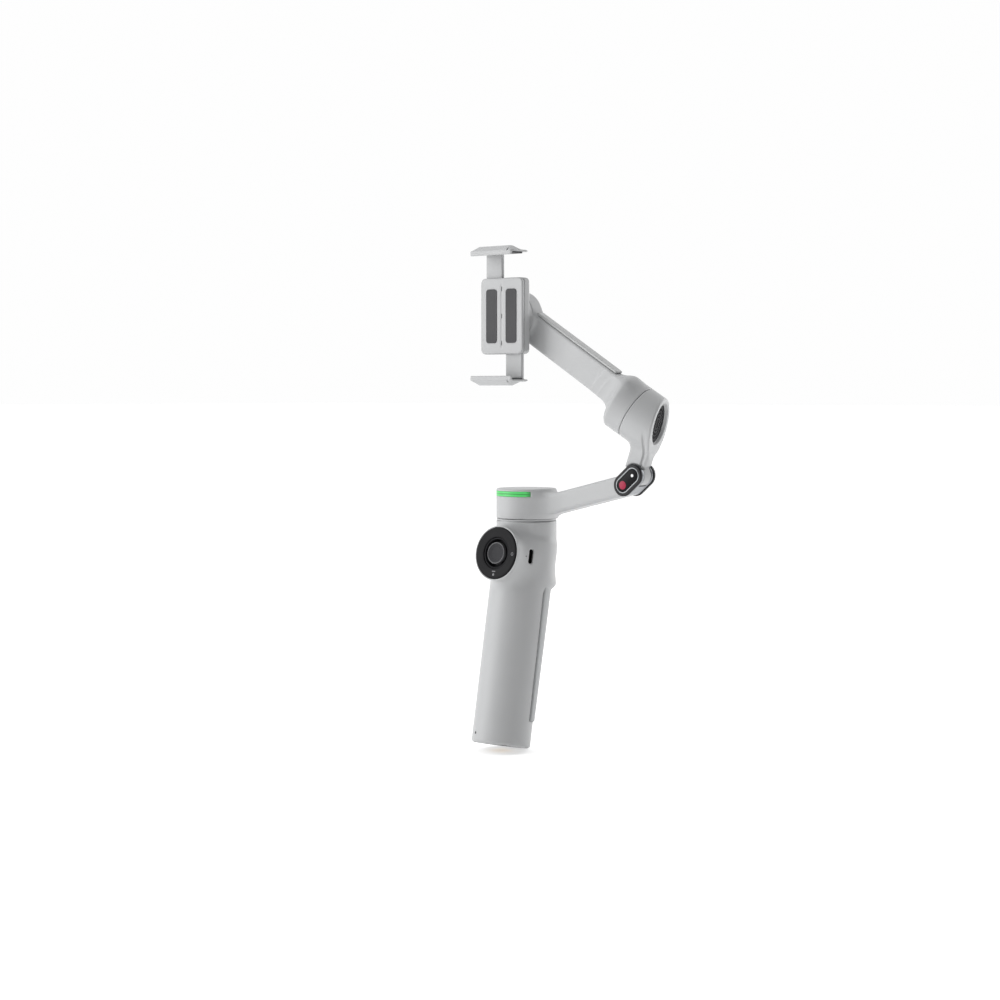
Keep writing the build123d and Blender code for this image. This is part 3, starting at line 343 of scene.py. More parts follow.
def finish(name, colour, rough, grain=0.05, grain_mm=0.35, mottle=0.04, metallic=0.0, specular=0.5,
           stretch=None, patch_mm=14.0):
    """Moulded, rubber or metal finish: fine grain in the bump, slow patches in colour and gloss."""
    material = bpy.data.materials.new(name)
    material.use_nodes = True
    tree = material.node_tree
    shader = tree.nodes["Principled BSDF"]
    shader.inputs["Metallic"].default_value = metallic
    shader.inputs["Specular IOR Level"].default_value = specular
    where = tree.nodes.new("ShaderNodeTexCoord")
    coords = where.outputs["Object"]
    if stretch:
        mapping = tree.nodes.new("ShaderNodeMapping")
        mapping.inputs["Scale"].default_value = stretch
        tree.links.new(coords, mapping.inputs["Vector"])
        coords = mapping.outputs["Vector"]

    def noise(size_mm, detail):
        n = tree.nodes.new("ShaderNodeTexNoise")
        n.inputs["Scale"].default_value = 1 / (size_mm * MM)
        n.inputs["Detail"].default_value = detail
        tree.links.new(coords, n.inputs["Vector"])
        return n.outputs["Fac"]

    patches, fine = noise(patch_mm, 3), noise(grain_mm, 2)
    mix = tree.nodes.new("ShaderNodeMix")
    mix.data_type = "RGBA"
    mix.inputs["A"].default_value = (*[c * (1 - mottle) for c in colour], 1)
    mix.inputs["B"].default_value = (*[min(1, c * (1 + mottle)) for c in colour], 1)
    spread = tree.nodes.new("ShaderNodeMapRange")
    spread.inputs["From Min"].default_value = NOISE_LOW
    spread.inputs["From Max"].default_value = NOISE_HIGH
    both_noises = tree.nodes.new("ShaderNodeMath")
    both_noises.operation = "MULTIPLY_ADD"
    both_noises.inputs[1].default_value = GRAIN_SHARE
    tree.links.new(fine, both_noises.inputs[0])
    scaled = tree.nodes.new("ShaderNodeMath")
    scaled.operation = "MULTIPLY"
    scaled.inputs[1].default_value = 1 - GRAIN_SHARE
    tree.links.new(patches, scaled.inputs[0])
    tree.links.new(scaled.outputs[0], both_noises.inputs[2])
    tree.links.new(both_noises.outputs[0], spread.inputs["Value"])
    tree.links.new(spread.outputs["Result"], mix.inputs["Factor"])
    tree.links.new(mix.outputs["Result"], shader.inputs["Base Color"])
    gloss = tree.nodes.new("ShaderNodeMapRange")
    gloss.inputs["From Min"].default_value = NOISE_LOW
    gloss.inputs["From Max"].default_value = NOISE_HIGH
    gloss.inputs["To Min"].default_value = rough - GLOSS_VARIES
    gloss.inputs["To Max"].default_value = rough + GLOSS_VARIES
    tree.links.new(patches, gloss.inputs["Value"])
    tree.links.new(gloss.outputs["Result"], shader.inputs["Roughness"])
    bump = tree.nodes.new("ShaderNodeBump")
    bump.inputs["Strength"].default_value = BUMP_STRENGTH
    bump.inputs["Distance"].default_value = grain * MM
    tree.links.new(fine, bump.inputs["Height"])
    tree.links.new(bump.outputs["Normal"], shader.inputs["Normal"])
    return material


def glowing(name, colour, glow, strength):
    """Light guide: it glows evenly and fades out towards its two ends."""
    material = finish(name, colour, 0.3, grain=0.01, mottle=0.05)
    tree = material.node_tree
    shader = tree.nodes["Principled BSDF"]
    shader.inputs["Emission Color"].default_value = glow
    where = tree.nodes.new("ShaderNodeAttribute")
    where.attribute_name = "glow"
    scale = tree.nodes.new("ShaderNodeMath")
    scale.operation = "MULTIPLY"
    scale.inputs[1].default_value = strength
    tree.links.new(where.outputs["Fac"], scale.inputs[0])
    tree.links.new(scale.outputs[0], shader.inputs["Emission Strength"])
    return material


BODY = finish("body_grey", (0.41, 0.415, 0.42), 0.45, grain=0.012, grain_mm=0.3, mottle=0.015)
PANEL = finish("panel_grey", (0.36, 0.37, 0.375), 0.6, grain=0.03, grain_mm=0.45, mottle=0.03)
STRIP = finish("strip_grey", (0.42, 0.425, 0.425), 0.4, grain=0.012, grain_mm=0.3, mottle=0.015)
INNER = finish("inner_plastic", (0.015, 0.015, 0.017), 0.65,
               grain=0.03, grain_mm=0.5, mottle=0.15, specular=0.15)
CONTROL_BLACK = finish("control_black", (0.007, 0.007, 0.008), 0.45,
                       grain=0.006, grain_mm=0.4, mottle=0.1, specular=0.1)
STICK = finish("stick_rubber", (0.018, 0.018, 0.021), 0.62,
               grain=0.05, grain_mm=0.5, mottle=0.15, specular=0.3)
MARK = finish("control_black", (0.16, 0.16, 0.17), 0.5, grain=0.004, mottle=0.05)
RIM_GREY = finish("control_black", (0.10, 0.10, 0.105), 0.28, grain=0.004, mottle=0.05)
TRIM_GREY = finish("trim_silver", (0.30, 0.31, 0.32), 0.36,
                   grain=0.006, grain_mm=0.2, mottle=0.04, metallic=1.0)
CAP = finish("cap_black", (0.010, 0.010, 0.012), 0.42,
             grain=0.015, grain_mm=0.4, mottle=0.12, specular=0.25)
SILVER = finish("trim_silver", (0.28, 0.29, 0.305), 0.3,
                grain=0.006, grain_mm=0.2, mottle=0.04, metallic=1.0)
RED = finish("red_inlay", (0.33, 0.010, 0.045), 0.4, grain=0.006, mottle=0.08, patch_mm=2, specular=0.3)
WHITE = finish("white_inlay", (0.8, 0.8, 0.8), 0.4, grain=0.006, mottle=0.03, patch_mm=2)
GREEN = glowing("light_green", (0.04, 0.30, 0.07), glow=(0.05, 0.42, 0.09, 1), strength=0.85)
PAD = finish("pad_rubber", (0.045, 0.045, 0.048), 0.7, grain=0.06, grain_mm=0.6, mottle=0.12)
BRASS = finish("brass", (0.72, 0.5, 0.2), 0.3, grain=0.01, mottle=0.06, metallic=1.0, stretch=(1, 1, 6))
STEEL = finish("steel", (0.5, 0.5, 0.51), 0.3, grain=0.01, mottle=0.06, metallic=1.0, stretch=(1, 1, 8))
ROD = finish("rod_metal", (0.5, 0.5, 0.52), 0.34, grain=0.012, grain_mm=0.25, mottle=0.04, metallic=1.0)
BOARD = finish("board_green", (0.02, 0.12, 0.05), 0.4, grain=0.03, grain_mm=0.8, mottle=0.2)
WRAP = finish("battery_wrap", (0.05, 0.16, 0.3), 0.35, grain=0.02, mottle=0.08)
WINDING = finish("winding", (0.55, 0.25, 0.1), 0.35, grain=0.08, grain_mm=0.3, mottle=0.15, metallic=1.0)
MAGNET = finish("magnet", (0.3, 0.3, 0.31), 0.35, grain=0.02, mottle=0.08, metallic=1.0)


# ------------------------------------------------------------------ grip and head
BASE_NARROWING, WAIST_DEPTH = 0.5, 1.1
GRIP_BORE, HEAD_BORE = 17.2, 16.9
CONTROL_SEATS = ((16.6, -1.9), (14.9, -5), (11.6, -17))  # radius and floor of each step in the boss
CONTROL_MOUTH = 6
PANEL_LOW, PANEL_TOP, PANEL_PROUD = 17, 104, 0.85
SEAT_DEPTH, SEAT_MIDDLE, SEAT_HALF, SEAT_REACH = 0.9, 58, 41.05, 21.5  # the rear panel's seat
ROD_BORE, ROD_T = 7.9, 6
TRIGGER_Z, TRIGGER_HALF = 113, (6.35, 11.5)


def grip_radius(s):
    """The grip narrows slightly towards its base."""
    return BODY_R - BASE_NARROWING + BASE_NARROWING * ease(s, 0, 100)


def panel_angle(s):
    """The rear panel wraps further round the grip at its top."""
    return 160 + 12 * ease(s, 17, 100)


def head_radius(hy, z):
    """The head is waisted at its back, where the finger rests."""
    return HEAD_R - WAIST_DEPTH * np.exp(-(((z - 110) / 8) ** 2)) * ease(hy, -4, 12)


def casing_outside(p):
    """Grip, head and the control's boss, blended into one."""
    x, t, s = GRIP.local(p)
    hx, hy, z = PAN.local(p)
    handle = slab(np.hypot(x, t) - grip_radius(s), s, 0, 130, 2.0)
    head = slab(np.hypot(hx, hy) - head_radius(hy, z), z, HEAD_LOW, HEAD_TOP + 20, 3.5)
    body = both(join(handle, head, 4.0), z - HEAD_TOP, 0.5)
    cx, cy, u = CONTROL.local(p)
    reach = np.hypot(cx, cy)
    cone = slab((reach - 17.1 - np.minimum(u, 0) * 0.2) * 0.98, u, -18, -0.35, 0.3)
    return both(join(body, cone, 9.0), u + 0.35)


def casing(p):
    """The outer form, hollowed, with its seats and windows."""
    x, t, s = GRIP.local(p)
    hx, hy, z = PAN.local(p)
    cx, cy, u = CONTROL.local(p)
    reach, grip_reach = np.hypot(cx, cy), np.hypot(x, t)
    f = casing_outside(p)
    head_hollow = slab(np.hypot(hx, hy) - HEAD_BORE, z, 98.8, 138.2, 1)
    f = cut(f, join(slab(grip_reach - GRIP_BORE, s, -5, 126), head_hollow, 1))
    for radius, seat_floor in CONTROL_SEATS:
        f = cut(f, slab(reach - radius, u, seat_floor, CONTROL_MOUTH))
    wall = grip_radius(s) - SEAT_DEPTH
    seat = np.maximum(wall - grip_reach, wedge(x, t, panel_angle(s) + 0.6))
    seat = np.maximum(seat, np.abs(s - SEAT_MIDDLE) - SEAT_HALF)
    f = cut(f, np.maximum(seat, grip_reach - SEAT_REACH))
    f = cut(f, slab(np.hypot(x, t - ROD_T) - ROD_BORE, s, 120, 175), RIM)
    turn = math.radians(PORT_TURN)
    out = x * math.cos(turn) + t * math.sin(turn)
    across = t * math.cos(turn) - x * math.sin(turn)
    port = stadium(across, s, (0, 115.35), (0, 121.65), 1.5)
    f = cut(f, slab(port, out, 10, 60), RIM)
    button = stadium(t, s, (0, 115.1), (0, 120.9), 2.4)
    f = cut(f, slab(button, x, -40, -10), RIM)
    window = block(hx, z - TRIGGER_Z, *TRIGGER_HALF, 1.2)
    return cut(f, slab(window, hy, 10, 40), RIM)


def make_grip():
    low, high = corners("grip_casing")
    moulded("casing_shell", casing, low, high, BODY, "handle", "grip_casing", step=0.7)
    make_panel()
    make_control()
    make_dots()


def make_dots():
    """A small pin near the base, and an indicator beside the charging socket."""
    turn = math.radians(PIN_TURN)
    out = GRIP.rows[0] * -math.sin(turn) - GRIP.rows[1] * math.cos(turn)
    at = Place(GRIP.world((0, 0, PIN_S)) + out * grip_radius(PIN_S), out, GRIP.rows[2])
    pin = [(CORE, 0.02), (0.5, 0.02), (0.62, 0.06), (0.8, 0.06), (0.85, 0.0), (0.85, -0.3), (CORE, -0.3)]
    turned("base_pin", pin, at, CAP, "handle", closed=False, sides=32)
    turn = math.radians(DOT_TURN)
    out = GRIP.rows[0] * math.cos(turn) + GRIP.rows[1] * math.sin(turn)
    reach = 30.0  # from outside, inwards to the casing's surface
    for _ in range(24):
        reach -= casing_outside((GRIP.world((0, 0, DOT_S)) + out * reach)[None])[0]
    at = Place(GRIP.world((0, 0, DOT_S)) + out * reach, out, GRIP.rows[2])
    dot = [(CORE, 0.03), (0.35, 0.02), (0.45, -0.05), (0.45, -0.6), (CORE, -0.6)]
    turned("status_dot", dot, at, CAP, "handle", closed=False, sides=32)


def make_panel():
    """Rear grip panel, a soft shell round the back of the grip, run out under the head."""
    low, high = corners("rear_grip_panel")

    def field(p):
        x, t, s = GRIP.local(p)
        reach, outer = np.hypot(x, t), grip_radius(s)
        shell = slab(reach - outer - PANEL_PROUD, s, PANEL_LOW, PANEL_TOP, 0.7)
        shell = both(shell, wedge(x, t, panel_angle(s)), 0.9)
        return cut(shell, reach - outer + PANEL_PROUD)

    moulded("panel_shell", field, low, high + (0, 3, 4), PANEL, "handle", "rear_grip_panel", step=0.6)


DOT_COUNT, DOT_CIRCLE = 12, 4.4  # grip dots on the joystick


def make_control():
    """Bezel, dished control ring with generic marks, and the joystick's dished cap."""
    rim = [(16.45, -1.7), (16.45, -0.1), (16.6, 0.05), (17.0, 0.05), (17.25, -0.25), (17.25, -0.9),
           (16.9, -1.7)]
    turned("control_rim", rim, CONTROL, BODY, "handle")
    dish = [(9.9, -1.1), (9.9, 0.2), (10.1, 0.5), (10.6, 0.62), (12.5, 0.5), (14.6, 0.6), (15.7, 0.62),
            (16.1, 0.45), (16.3, 0.1), (16.3, -1.1)]
    turned("control_dial", dish, CONTROL, CONTROL_BLACK, "control_ring", "control_ring")
    marks = (("mark_right", 13.2, 0.0, 1.0, 0.65), ("mark_low", 0.0, -13.6, 0.8, CORE))
    for name, x, y, outer, inner in marks:
        at = CONTROL.moved(x, y, 0.5)
        turned(name, [(inner, 0), (outer, 0), (outer, 0.1), (inner, 0.1)], at, MARK, "control_ring", sides=32)
    turned("mark_bar", [(CORE, 0), (0.3, 0), (0.3, 0.1), (CORE, 0.1)], CONTROL.moved(0, -11.6, 0.5), MARK,
           "control_ring", sides=32, closed=False, stretch=2.2)
    cap = [(CORE, 0.1), (3.2, 0.14), (5.2, 0.5), (5.9, 0.72), (6.1, 0.7), (6.1, -1.7), (1.7, -1.7),
           (1.7, -6.6), (2.3, -7.6), (2.4, -8.8), (2.0, -10.2), (CORE, -11.1)]
    turned("joystick_cap", cap, CONTROL, STICK, "joystick", "joystick", closed=False)
    bezel = [(6.1, 0.6), (6.25, 0.8), (6.55, 0.78), (6.78, 0.5), (6.8, -1.7), (6.1, -1.7)]
    turned("joystick_rim", bezel, CONTROL, RIM_GREY, "joystick")
    dot = [(CORE, 0), (0.32, 0), (0.24, 0.22), (CORE, 0.28)]
    for k in range(DOT_COUNT):
        angle = k * math.pi / 6
        spot = CONTROL.moved(DOT_CIRCLE * math.cos(angle), DOT_CIRCLE * math.sin(angle), 0.28)
        turned(f"joystick_dot_{k}", dot, spot, STICK, "joystick", sides=16, closed=False)


# ------------------------------------------------------------------ pan housing and its arm
PAN_BORE, PAN_BORE_TOP = 12.7, 154
ARM_START = np.array([14.0, 148.8])  # in X and Z; the arm runs from here to the knuckle
ARM_HALF, ARM_DEPTH = 6.5, 6.2
ROOT_DEEPER, ROOT_END = 4.8, 36  # the arm is this much deeper at its root, tapering to here
ARM_REACH, ARM_BACK = 70, 10
LIGHT_SEAT_R, LIGHT_SEAT_DEGREES, LIGHT_SEAT_HALF = 17.35, 94, 1.6
LIGHT_STEPS, LIGHT_DEGREES = 72, 46.8


def make_pan():
    """Pan housing and its arm, blended, up to the knuckle."""
    along = (KNUCKLE_LOW - ARM_START) / np.linalg.norm(KNUCKLE_LOW - ARM_START)

    def field(p):
        x, y, z = PAN.local(p)
        reach = np.hypot(x, y)
        body = slab(reach - HEAD_R, z, PAN_LOW - 1, PAN_TOP, 1.0)
        side = (z - ARM_START[1]) * along[0] - (x - ARM_START[0]) * along[1]
        run = (x - ARM_START[0]) * along[0] + (z - ARM_START[1]) * along[1]
        depth = ARM_DEPTH + ROOT_DEEPER * (1 - ease(x, 0, ROOT_END))
        arm = block(side, np.maximum(np.abs(y) - depth + ARM_DEPTH, 0), ARM_HALF, ARM_DEPTH, 2.4)
        arm = both(arm, run - ARM_REACH)
        arm = both(arm, -run - ARM_BACK)
        f = join(body, arm, 7.0)
        f = both(f, PAN_LOW - z, 0.4)
        f = cut(f, slab(stadium(x, z, KNUCKLE_LOW, KNUCKLE_HIGH, KNUCKLE_R - 0.4), y, -20, 20))
        f = cut(f, slab(reach - PAN_BORE, z, 100, PAN_BORE_TOP))
        seat = np.maximum(LIGHT_SEAT_R - reach, wedge(x, -y, LIGHT_SEAT_DEGREES))
        f = cut(f, np.maximum(seat, np.abs(z - LIGHT_MIDDLE) - LIGHT_SEAT_HALF))
        return cut(f, slab(reach - 16.65, z, PAN_TOP - 1.4, PAN_TOP + 9))

    low, high = corners("pan_housing")
    moulded("pan_shell", field, low, high, BODY, "pan_arm", "pan_housing")


def make_light():
    """Curved light guide: bright along its edges, calmer in the middle, fading at both ends."""
    turn = np.radians(np.linspace(-LIGHT_DEGREES, LIGHT_DEGREES, LIGHT_STEPS))
    half = (LIGHT_TOP - LIGHT_LOW) / 2
    profile = [(17.4, -half), (19.05, -half), (19.2, -half + 0.2), (19.2, -0.5), (19.05, -0.3), (19.05, 0.3),
               (19.2, 0.5), (19.2, half - 0.2), (19.05, half), (17.4, half)]
    lines = [np.stack([r * np.sin(turn), -r * np.cos(turn), np.full(LIGHT_STEPS, LIGHT_MIDDLE + h)], -1)
             for r, h in profile]
    points = np.concatenate([PAN.world(line) for line in lines])
    count, last = len(profile), LIGHT_STEPS - 1
    starts = [(a * LIGHT_STEPS, (a + 1) % count * LIGHT_STEPS) for a in range(count)]
    faces = [(a + i, a + i + 1, b + i + 1, b + i) for a, b in starts for i in range(last)]
    faces += [tuple(a + end for a, _ in starts) for end in (0, last)]
    obj = piece("light_guide", points, faces, GREEN, "pan_arm", "status_light")
    fade = 0.12 + 0.88 * (1 - ease(np.abs(turn), math.radians(36), math.radians(47)))
    glow = np.concatenate([fade * (0.12 if abs(h) < 0.4 else 0.9) for _, h in profile])
    obj.data.attributes.new("glow", "FLOAT", "POINT").data.foreach_set("value", glow.astype(np.float32))
    face_out(obj)
    sharpen(obj)


def make_knuckle():
    """Bright band round the fold knuckle, and its two dark ends with their inlays."""

    def field(p):
        x, y, z = p.T
        f = slab(stadium(x, z, KNUCKLE_LOW, KNUCKLE_HIGH, KNUCKLE_R), y, ARM_FRONT, ARM_REAR, 0.2)
        return cut(f, slab(np.hypot(x - HINGE[0], z - HINGE[2]) - 6.9, y, *CHEEKS))

    low = np.array([KNUCKLE_LOW[0] - 7, ARM_FRONT, KNUCKLE_LOW[1] - 7])
    high = np.array([KNUCKLE_HIGH[0] + 7, ARM_REAR, KNUCKLE_HIGH[1] + 7])
    moulded("knuckle_band", field, low, high, SILVER, "pan_arm", step=FINE)
    middle = (KNUCKLE_LOW + KNUCKLE_HIGH) / 2
    way = (SLANT[0], 0, SLANT[1])
    front = Place((middle[0], ARM_FRONT, middle[1]), (0, -1, 0), way)
    rear = Place((middle[0], ARM_REAR, middle[1]), (0, 1, 0), way)
    long = {"closed": False, "stretch": KNUCKLE_LENGTH}
    cap = [(CORE, -0.4), (6.85, -0.4), (6.85, 0.8), (6.35, 1.3), (5.05, 1.3), (4.95, 0.75), (CORE, 0.75)]
    turned("knuckle_cap", cap, front, CAP, "pan_arm", "knuckle_front_cap", **long)
    back = [(CORE, -0.6), (7.1, -0.6), (7.1, 0.9), (6.6, 1.3), (CORE, 1.3)]
    turned("knuckle_back", back, rear, CAP, "pan_arm", "knuckle_rear_cap", **long)
    ring = [(4.25, 0.7), (4.25, 1.2), (4.4, 1.35), (4.75, 1.35), (4.92, 1.2), (4.92, 0.7)]
    turned("knuckle_ring", ring, front, TRIM_GREY, "pan_arm", "knuckle_trim", stretch=KNUCKLE_LENGTH)
    glass = [(CORE, 0.7), (4.2, 0.7), (4.2, 1.0), (3.9, 1.16), (CORE, 1.2)]
    turned("knuckle_glass", glass, front, CONTROL_BLACK, "pan_arm", "knuckle_lens", **long)
    inlays = (("inlay_red", -1, 2.6, RED, "knuckle_red_inlay"),
              ("inlay_white", 1, 1.0, WHITE, "knuckle_white_inlay"))
    for name, end, radius, material, cad_node in inlays:
        at = front.moved(end * KNUCKLE_LENGTH / 2, 0, 1.0)
        dome = [(CORE, 0), (radius, 0), (radius, 0.2), (radius - 0.3, 0.3), (CORE, 0.34)]
        turned(name, dome, at, material, "pan_arm", cad_node, closed=False, sides=48)


# ------------------------------------------------------------------ upper arm
# Outline in X and Z, from the knuckle up into the tilt motor and back.
UPPER = [(81.6, 176.4), (86.8, 190.7), (88.0, 199.0), (100.5, 204.0), (103.5, 191.3), (96.0, 176.4)]
VALLEY = ((93.0, 175.2), (101.9, 197.6))  # groove down the arm's front, in X and Z
VALLEY_HALF, VALLEY_DEPTH = 0.9, 0.9
VENT_BORE, VENT_FLOOR, VENT_STEP = 10.6, -0.65, 0.4
VENT_MOUTH, VENT_FLARE = 12.2, 0.45


def make_upper():
    """Upper arm and its half of the tilt motor, blended, with the vent's mouth."""

    def field(p):
        x, y, z = p.T
        arm = slab(polygon(x, z, UPPER) - 0.2, y, 20.3, 31.3, 1.6)
        q = TILT.local(p)
        reach = np.hypot(q[0], q[1])
        cup = slab(reach - TILT_R, q[2], -30, 9, 0.4)
        end = (p - END) @ END_NORMAL
        f = both(join(arm, cup, 4.5), end, 1.2)
        f = both(f, q[2], 0.3)
        f = cut(f, slab(np.hypot(x - HINGE[0], z - HINGE[2]) - 7.3, y, 0, 60), 0.3)
        tongue = slab(np.hypot(x - HINGE[0], z - HINGE[2]) - TONGUE_R, y, *TONGUE, RIM)
        neck = slab(block(x - HINGE[0], z - HINGE[2] - 6.6, 5.0, 6.6), y, *TONGUE, RIM)
        f = np.minimum(f, np.minimum(tongue, neck))
        v = VENT.local(p)
        around = np.hypot(v[0], v[1])
        f = cut(f, np.maximum(around - VENT_BORE, VENT_FLOOR - v[2]))
        mouth = (around - VENT_MOUTH - VENT_FLARE * np.clip(v[2] - VENT_STEP, 0, 6)) * 0.9
        f = cut(f, np.maximum(mouth, VENT_STEP - v[2]), RIM)
        valley = stadium(x, z, *VALLEY, 0)
        depth = VALLEY_DEPTH * (1 - ease(z, 192, 198))
        f = cut(f, np.maximum(np.maximum(valley - VALLEY_HALF, -f - depth), y - 24), 0.5)
        return cut(f, slab(reach - MOTOR_BORE, q[2], -MOTOR_DEPTH, MOTOR_DEPTH))

    low, high = corners("upper_arm")
    moulded("upper_shell", field, low, high, BODY, "upper_arm", "upper_arm", step=FINE)
    # Black disc on the floor of the shallow vent recess, behind the grille: painted shade standing in for the
    # dark depth behind a real vent.
    painted_shade_disc = [(CORE, -0.62), (10.55, -0.62), (10.55, -0.6), (CORE, -0.58)]
    turned("vent_painted_shade", painted_shade_disc, VENT, CAP, "upper_arm", closed=False)
    bezel = [(10.55, 0.2), (12.1, 0.3), (12.15, 0.55), (11.0, 0.6), (10.55, 0.75)]
    turned("vent_bezel", bezel, VENT, INNER, "upper_arm")


# ------------------------------------------------------------------ inner arm
INNER_START = np.array([84.0, 218.5])  # in X and Z, at the tilt motor
INNER_END = ROLL.origin[[0, 2]]
INNER_WAY = (INNER_END - INNER_START) / np.linalg.norm(INNER_END - INNER_START)
INNER_LENGTH, INNER_HALF = 98, 9.3
INNER_FRONT, INNER_REAR = 14.5, 22.5  # in Y
CONTOUR_STEP = 0.45  # height of each of the two steps on its front


def inner_side(x, z):
    """Distance along the inner arm from its end at the tilt motor, and to the left of it."""
    dx, dz = x - INNER_START[0], z - INNER_START[1]
    return dx * INNER_WAY[0] + dz * INNER_WAY[1], dz * INNER_WAY[0] - dx * INNER_WAY[1]


def make_inner():
    """Inner arm between the tilt and roll motors, and the strip along it."""

    def field(p):
        x, y, z = p.T
        run, side = inner_side(x, z)
        span = np.linalg.norm(p - TILT.origin, axis=-1)
        steps = 2 - ease(span, 26.0, 27.2) - ease(span, 31.5, 32.7)
        front = INNER_FRONT - CONTOUR_STEP * steps
        half = INNER_LENGTH / 2
        arm = slab(block(run - half, side, half, INNER_HALF, 1.5), y, front, INNER_REAR, 1.5)
        q = TILT.local(p)
        reach = np.hypot(q[0], q[1])
        cup = slab(reach - TILT_R, q[2], -9, 13.3, 2.4)
        f = join(arm, cup, 10.0)
        f = both(f, 0.3 - q[2], 0.3)
        r = ROLL.local(p)
        roll_reach = np.hypot(r[0], r[1])
        f = join(f, slab(roll_reach - ROLL_R, r[2], -10.5, 0, 0.8), 4.0)
        f = cut(f, slab(reach - 12.7, q[2], -9, 2.4))
        f = cut(f, slab(np.abs(roll_reach - 12.6) - 0.35, r[2], -12, -10.1), RIM)
        return cut(f, slab(roll_reach - MOTOR_BORE, r[2], -MOTOR_DEPTH, MOTOR_DEPTH))

    low, high = corners("inner_arm")
    moulded("inner_shell", field, low, high, BODY, "inner_arm", "inner_arm")

    def strip(p):
        x, y, z = p.T
        run, side = inner_side(x, z)
        return slab(block(run - 48.4, side + 10.25, 36.2, 0.85, 0.6), y, 15.3, 21.7, 0.6)

    low, high = corners("inner_arm_strip")
    moulded("strip_shell", strip, low, high, STRIP, "inner_arm", "inner_arm_strip", step=FINE)


# ------------------------------------------------------------------ phone clamp
CLAMP_HALF = (17, 24)
RAIL_X, RAIL_HALF = 8, 6.5
DRUM_R = 3.5
SLOT_HALF = (0.7, 20)


def make_clamp():
    """The clamp's cover and body, and its two jaws."""
    middle = ROLL.origin[2]

    def cover(p):
        x, y, z = p.T
        f = slab(block(x, z - middle, *CLAMP_HALF, 3.5), y, 0.8, 3.0, 0.6)
        return cut(f, slab(block(x, z - middle, *SLOT_HALF, 0.6), y, 0, 1.1), RIM)

    def body(p):
        x, y, z = p.T
        f = both(slab(block(x, z - middle, *CLAMP_HALF, 3), y, 0, 8.8, 1.6), 3.05 - y)
        for side in (-1, 1):
            f = cut(f, slab(block(x - side * RAIL_X, z - middle + side * 1.3, 6.8, 23.3), y, 0, 6.0))
            f = cut(f, slab(np.hypot(x - side * RAIL_X, z - middle) - DRUM_R, y, 5, 8.4))
        return f

    low, high = corners("clamp_body", "clamp_cover")
    moulded("clamp_front", cover, low, high, BODY, "clamp", "clamp_cover")
    moulded("clamp_back", body, low, high, BODY, "clamp", "clamp_body")
    for side, name in ((1, "upper"), (-1, "lower")):
        make_jaw(side, name)


JAW_EDGE = 0.6
# Outlines of a jaw, JAW_EDGE inside its surface: (y, height) from back to front, and (x, height) across.
JAW_SECTION = [(-5.7, 3.6), (-2.9, 3.6), (1.1, 1.0), (6.4, 1.0), (6.4, 0.6), (-9.0, 0.6), (-9.0, -1.6),
               (-9.4, -1.6), (-9.4, 0.6)]
JAW_ENDS = [(-16.4, -2.6), (-16.4, 0.6), (-12.2, 3.6), (12.2, 3.6), (16.4, 0.6), (16.4, -2.6)]
RAIL_Y = (3.3, 5.7)


def make_jaw(side, name):
    """A tapered jaw, its lip, slit and the flat rail it slides on."""
    pad_low, pad_high = corners(f"{name}_jaw_pad")
    under = pad_high[2] if side > 0 else pad_low[2]
    middle = ROLL.origin[2]

    def field(p):
        x, y, z = p.T
        out = side * (z - under)
        section = polygon(y, out, JAW_SECTION) - JAW_EDGE
        ends = polygon(x, out, JAW_ENDS) - JAW_EDGE
        f = both(section, ends, 1.4)
        f = cut(f, slab(block(x - 13.6, out - 1.5, 0.5, 1.1, 0.3), y, -12, -8.0), 0.1)
        reach = side * (under - middle)
        up = side * (z - middle)
        rail = block(x + side * RAIL_X, up - (reach - 10.5) / 2, RAIL_HALF, (reach + 12.5) / 2, 0.3)
        rail = slab(rail, y, *RAIL_Y, 0.3)
        return join(f, rail, 0.6)

    low, high = corners(f"{name}_jaw")
    moulded(f"{name}_grip_jaw", field, low, high, BODY, f"{name}_jaw", f"{name}_jaw", step=0.5)


# ------------------------------------------------------------------ floor, light and camera
FLOOR_HALF, FLOOR_GLOW = 30.0, 0.42


def make_stage():
    """Pale floor at the foot of the grip, a little bright of itself."""
    floor_z = corners("grip_casing")[0][2] * MM
    mesh = bpy.data.meshes.new("floor")
    signs = ((-1, -1), (1, -1), (1, 1), (-1, 1))
    mesh.from_pydata([(a * FLOOR_HALF, b * FLOOR_HALF, floor_z) for a, b in signs], [], [(0, 1, 2, 3)])
    floor = bpy.data.objects.new("floor", mesh)
    bpy.context.scene.collection.objects.link(floor)
    material = finish("floor_pale", (0.80, 0.80, 0.80), 0.9, grain=0.0, mottle=0.003, patch_mm=400)
    mesh.materials.append(material)
    shader = material.node_tree.nodes["Principled BSDF"]
    shader.inputs["Emission Color"].default_value = (1, 1, 1, 1)
    shader.inputs["Emission Strength"].default_value = FLOOR_GLOW


AZIMUTH = math.radians(40)  # the view is from the object's right front
AHEAD = Vector((-math.sin(AZIMUTH), math.cos(AZIMUTH), 0))
ACROSS = Vector((math.cos(AZIMUTH), math.sin(AZIMUTH), 0))


DIM_FROM, DIM_TO, DIM_LEVEL = -0.1, 0.75, 0.12  # where the surround starts to dim, ends, and how far


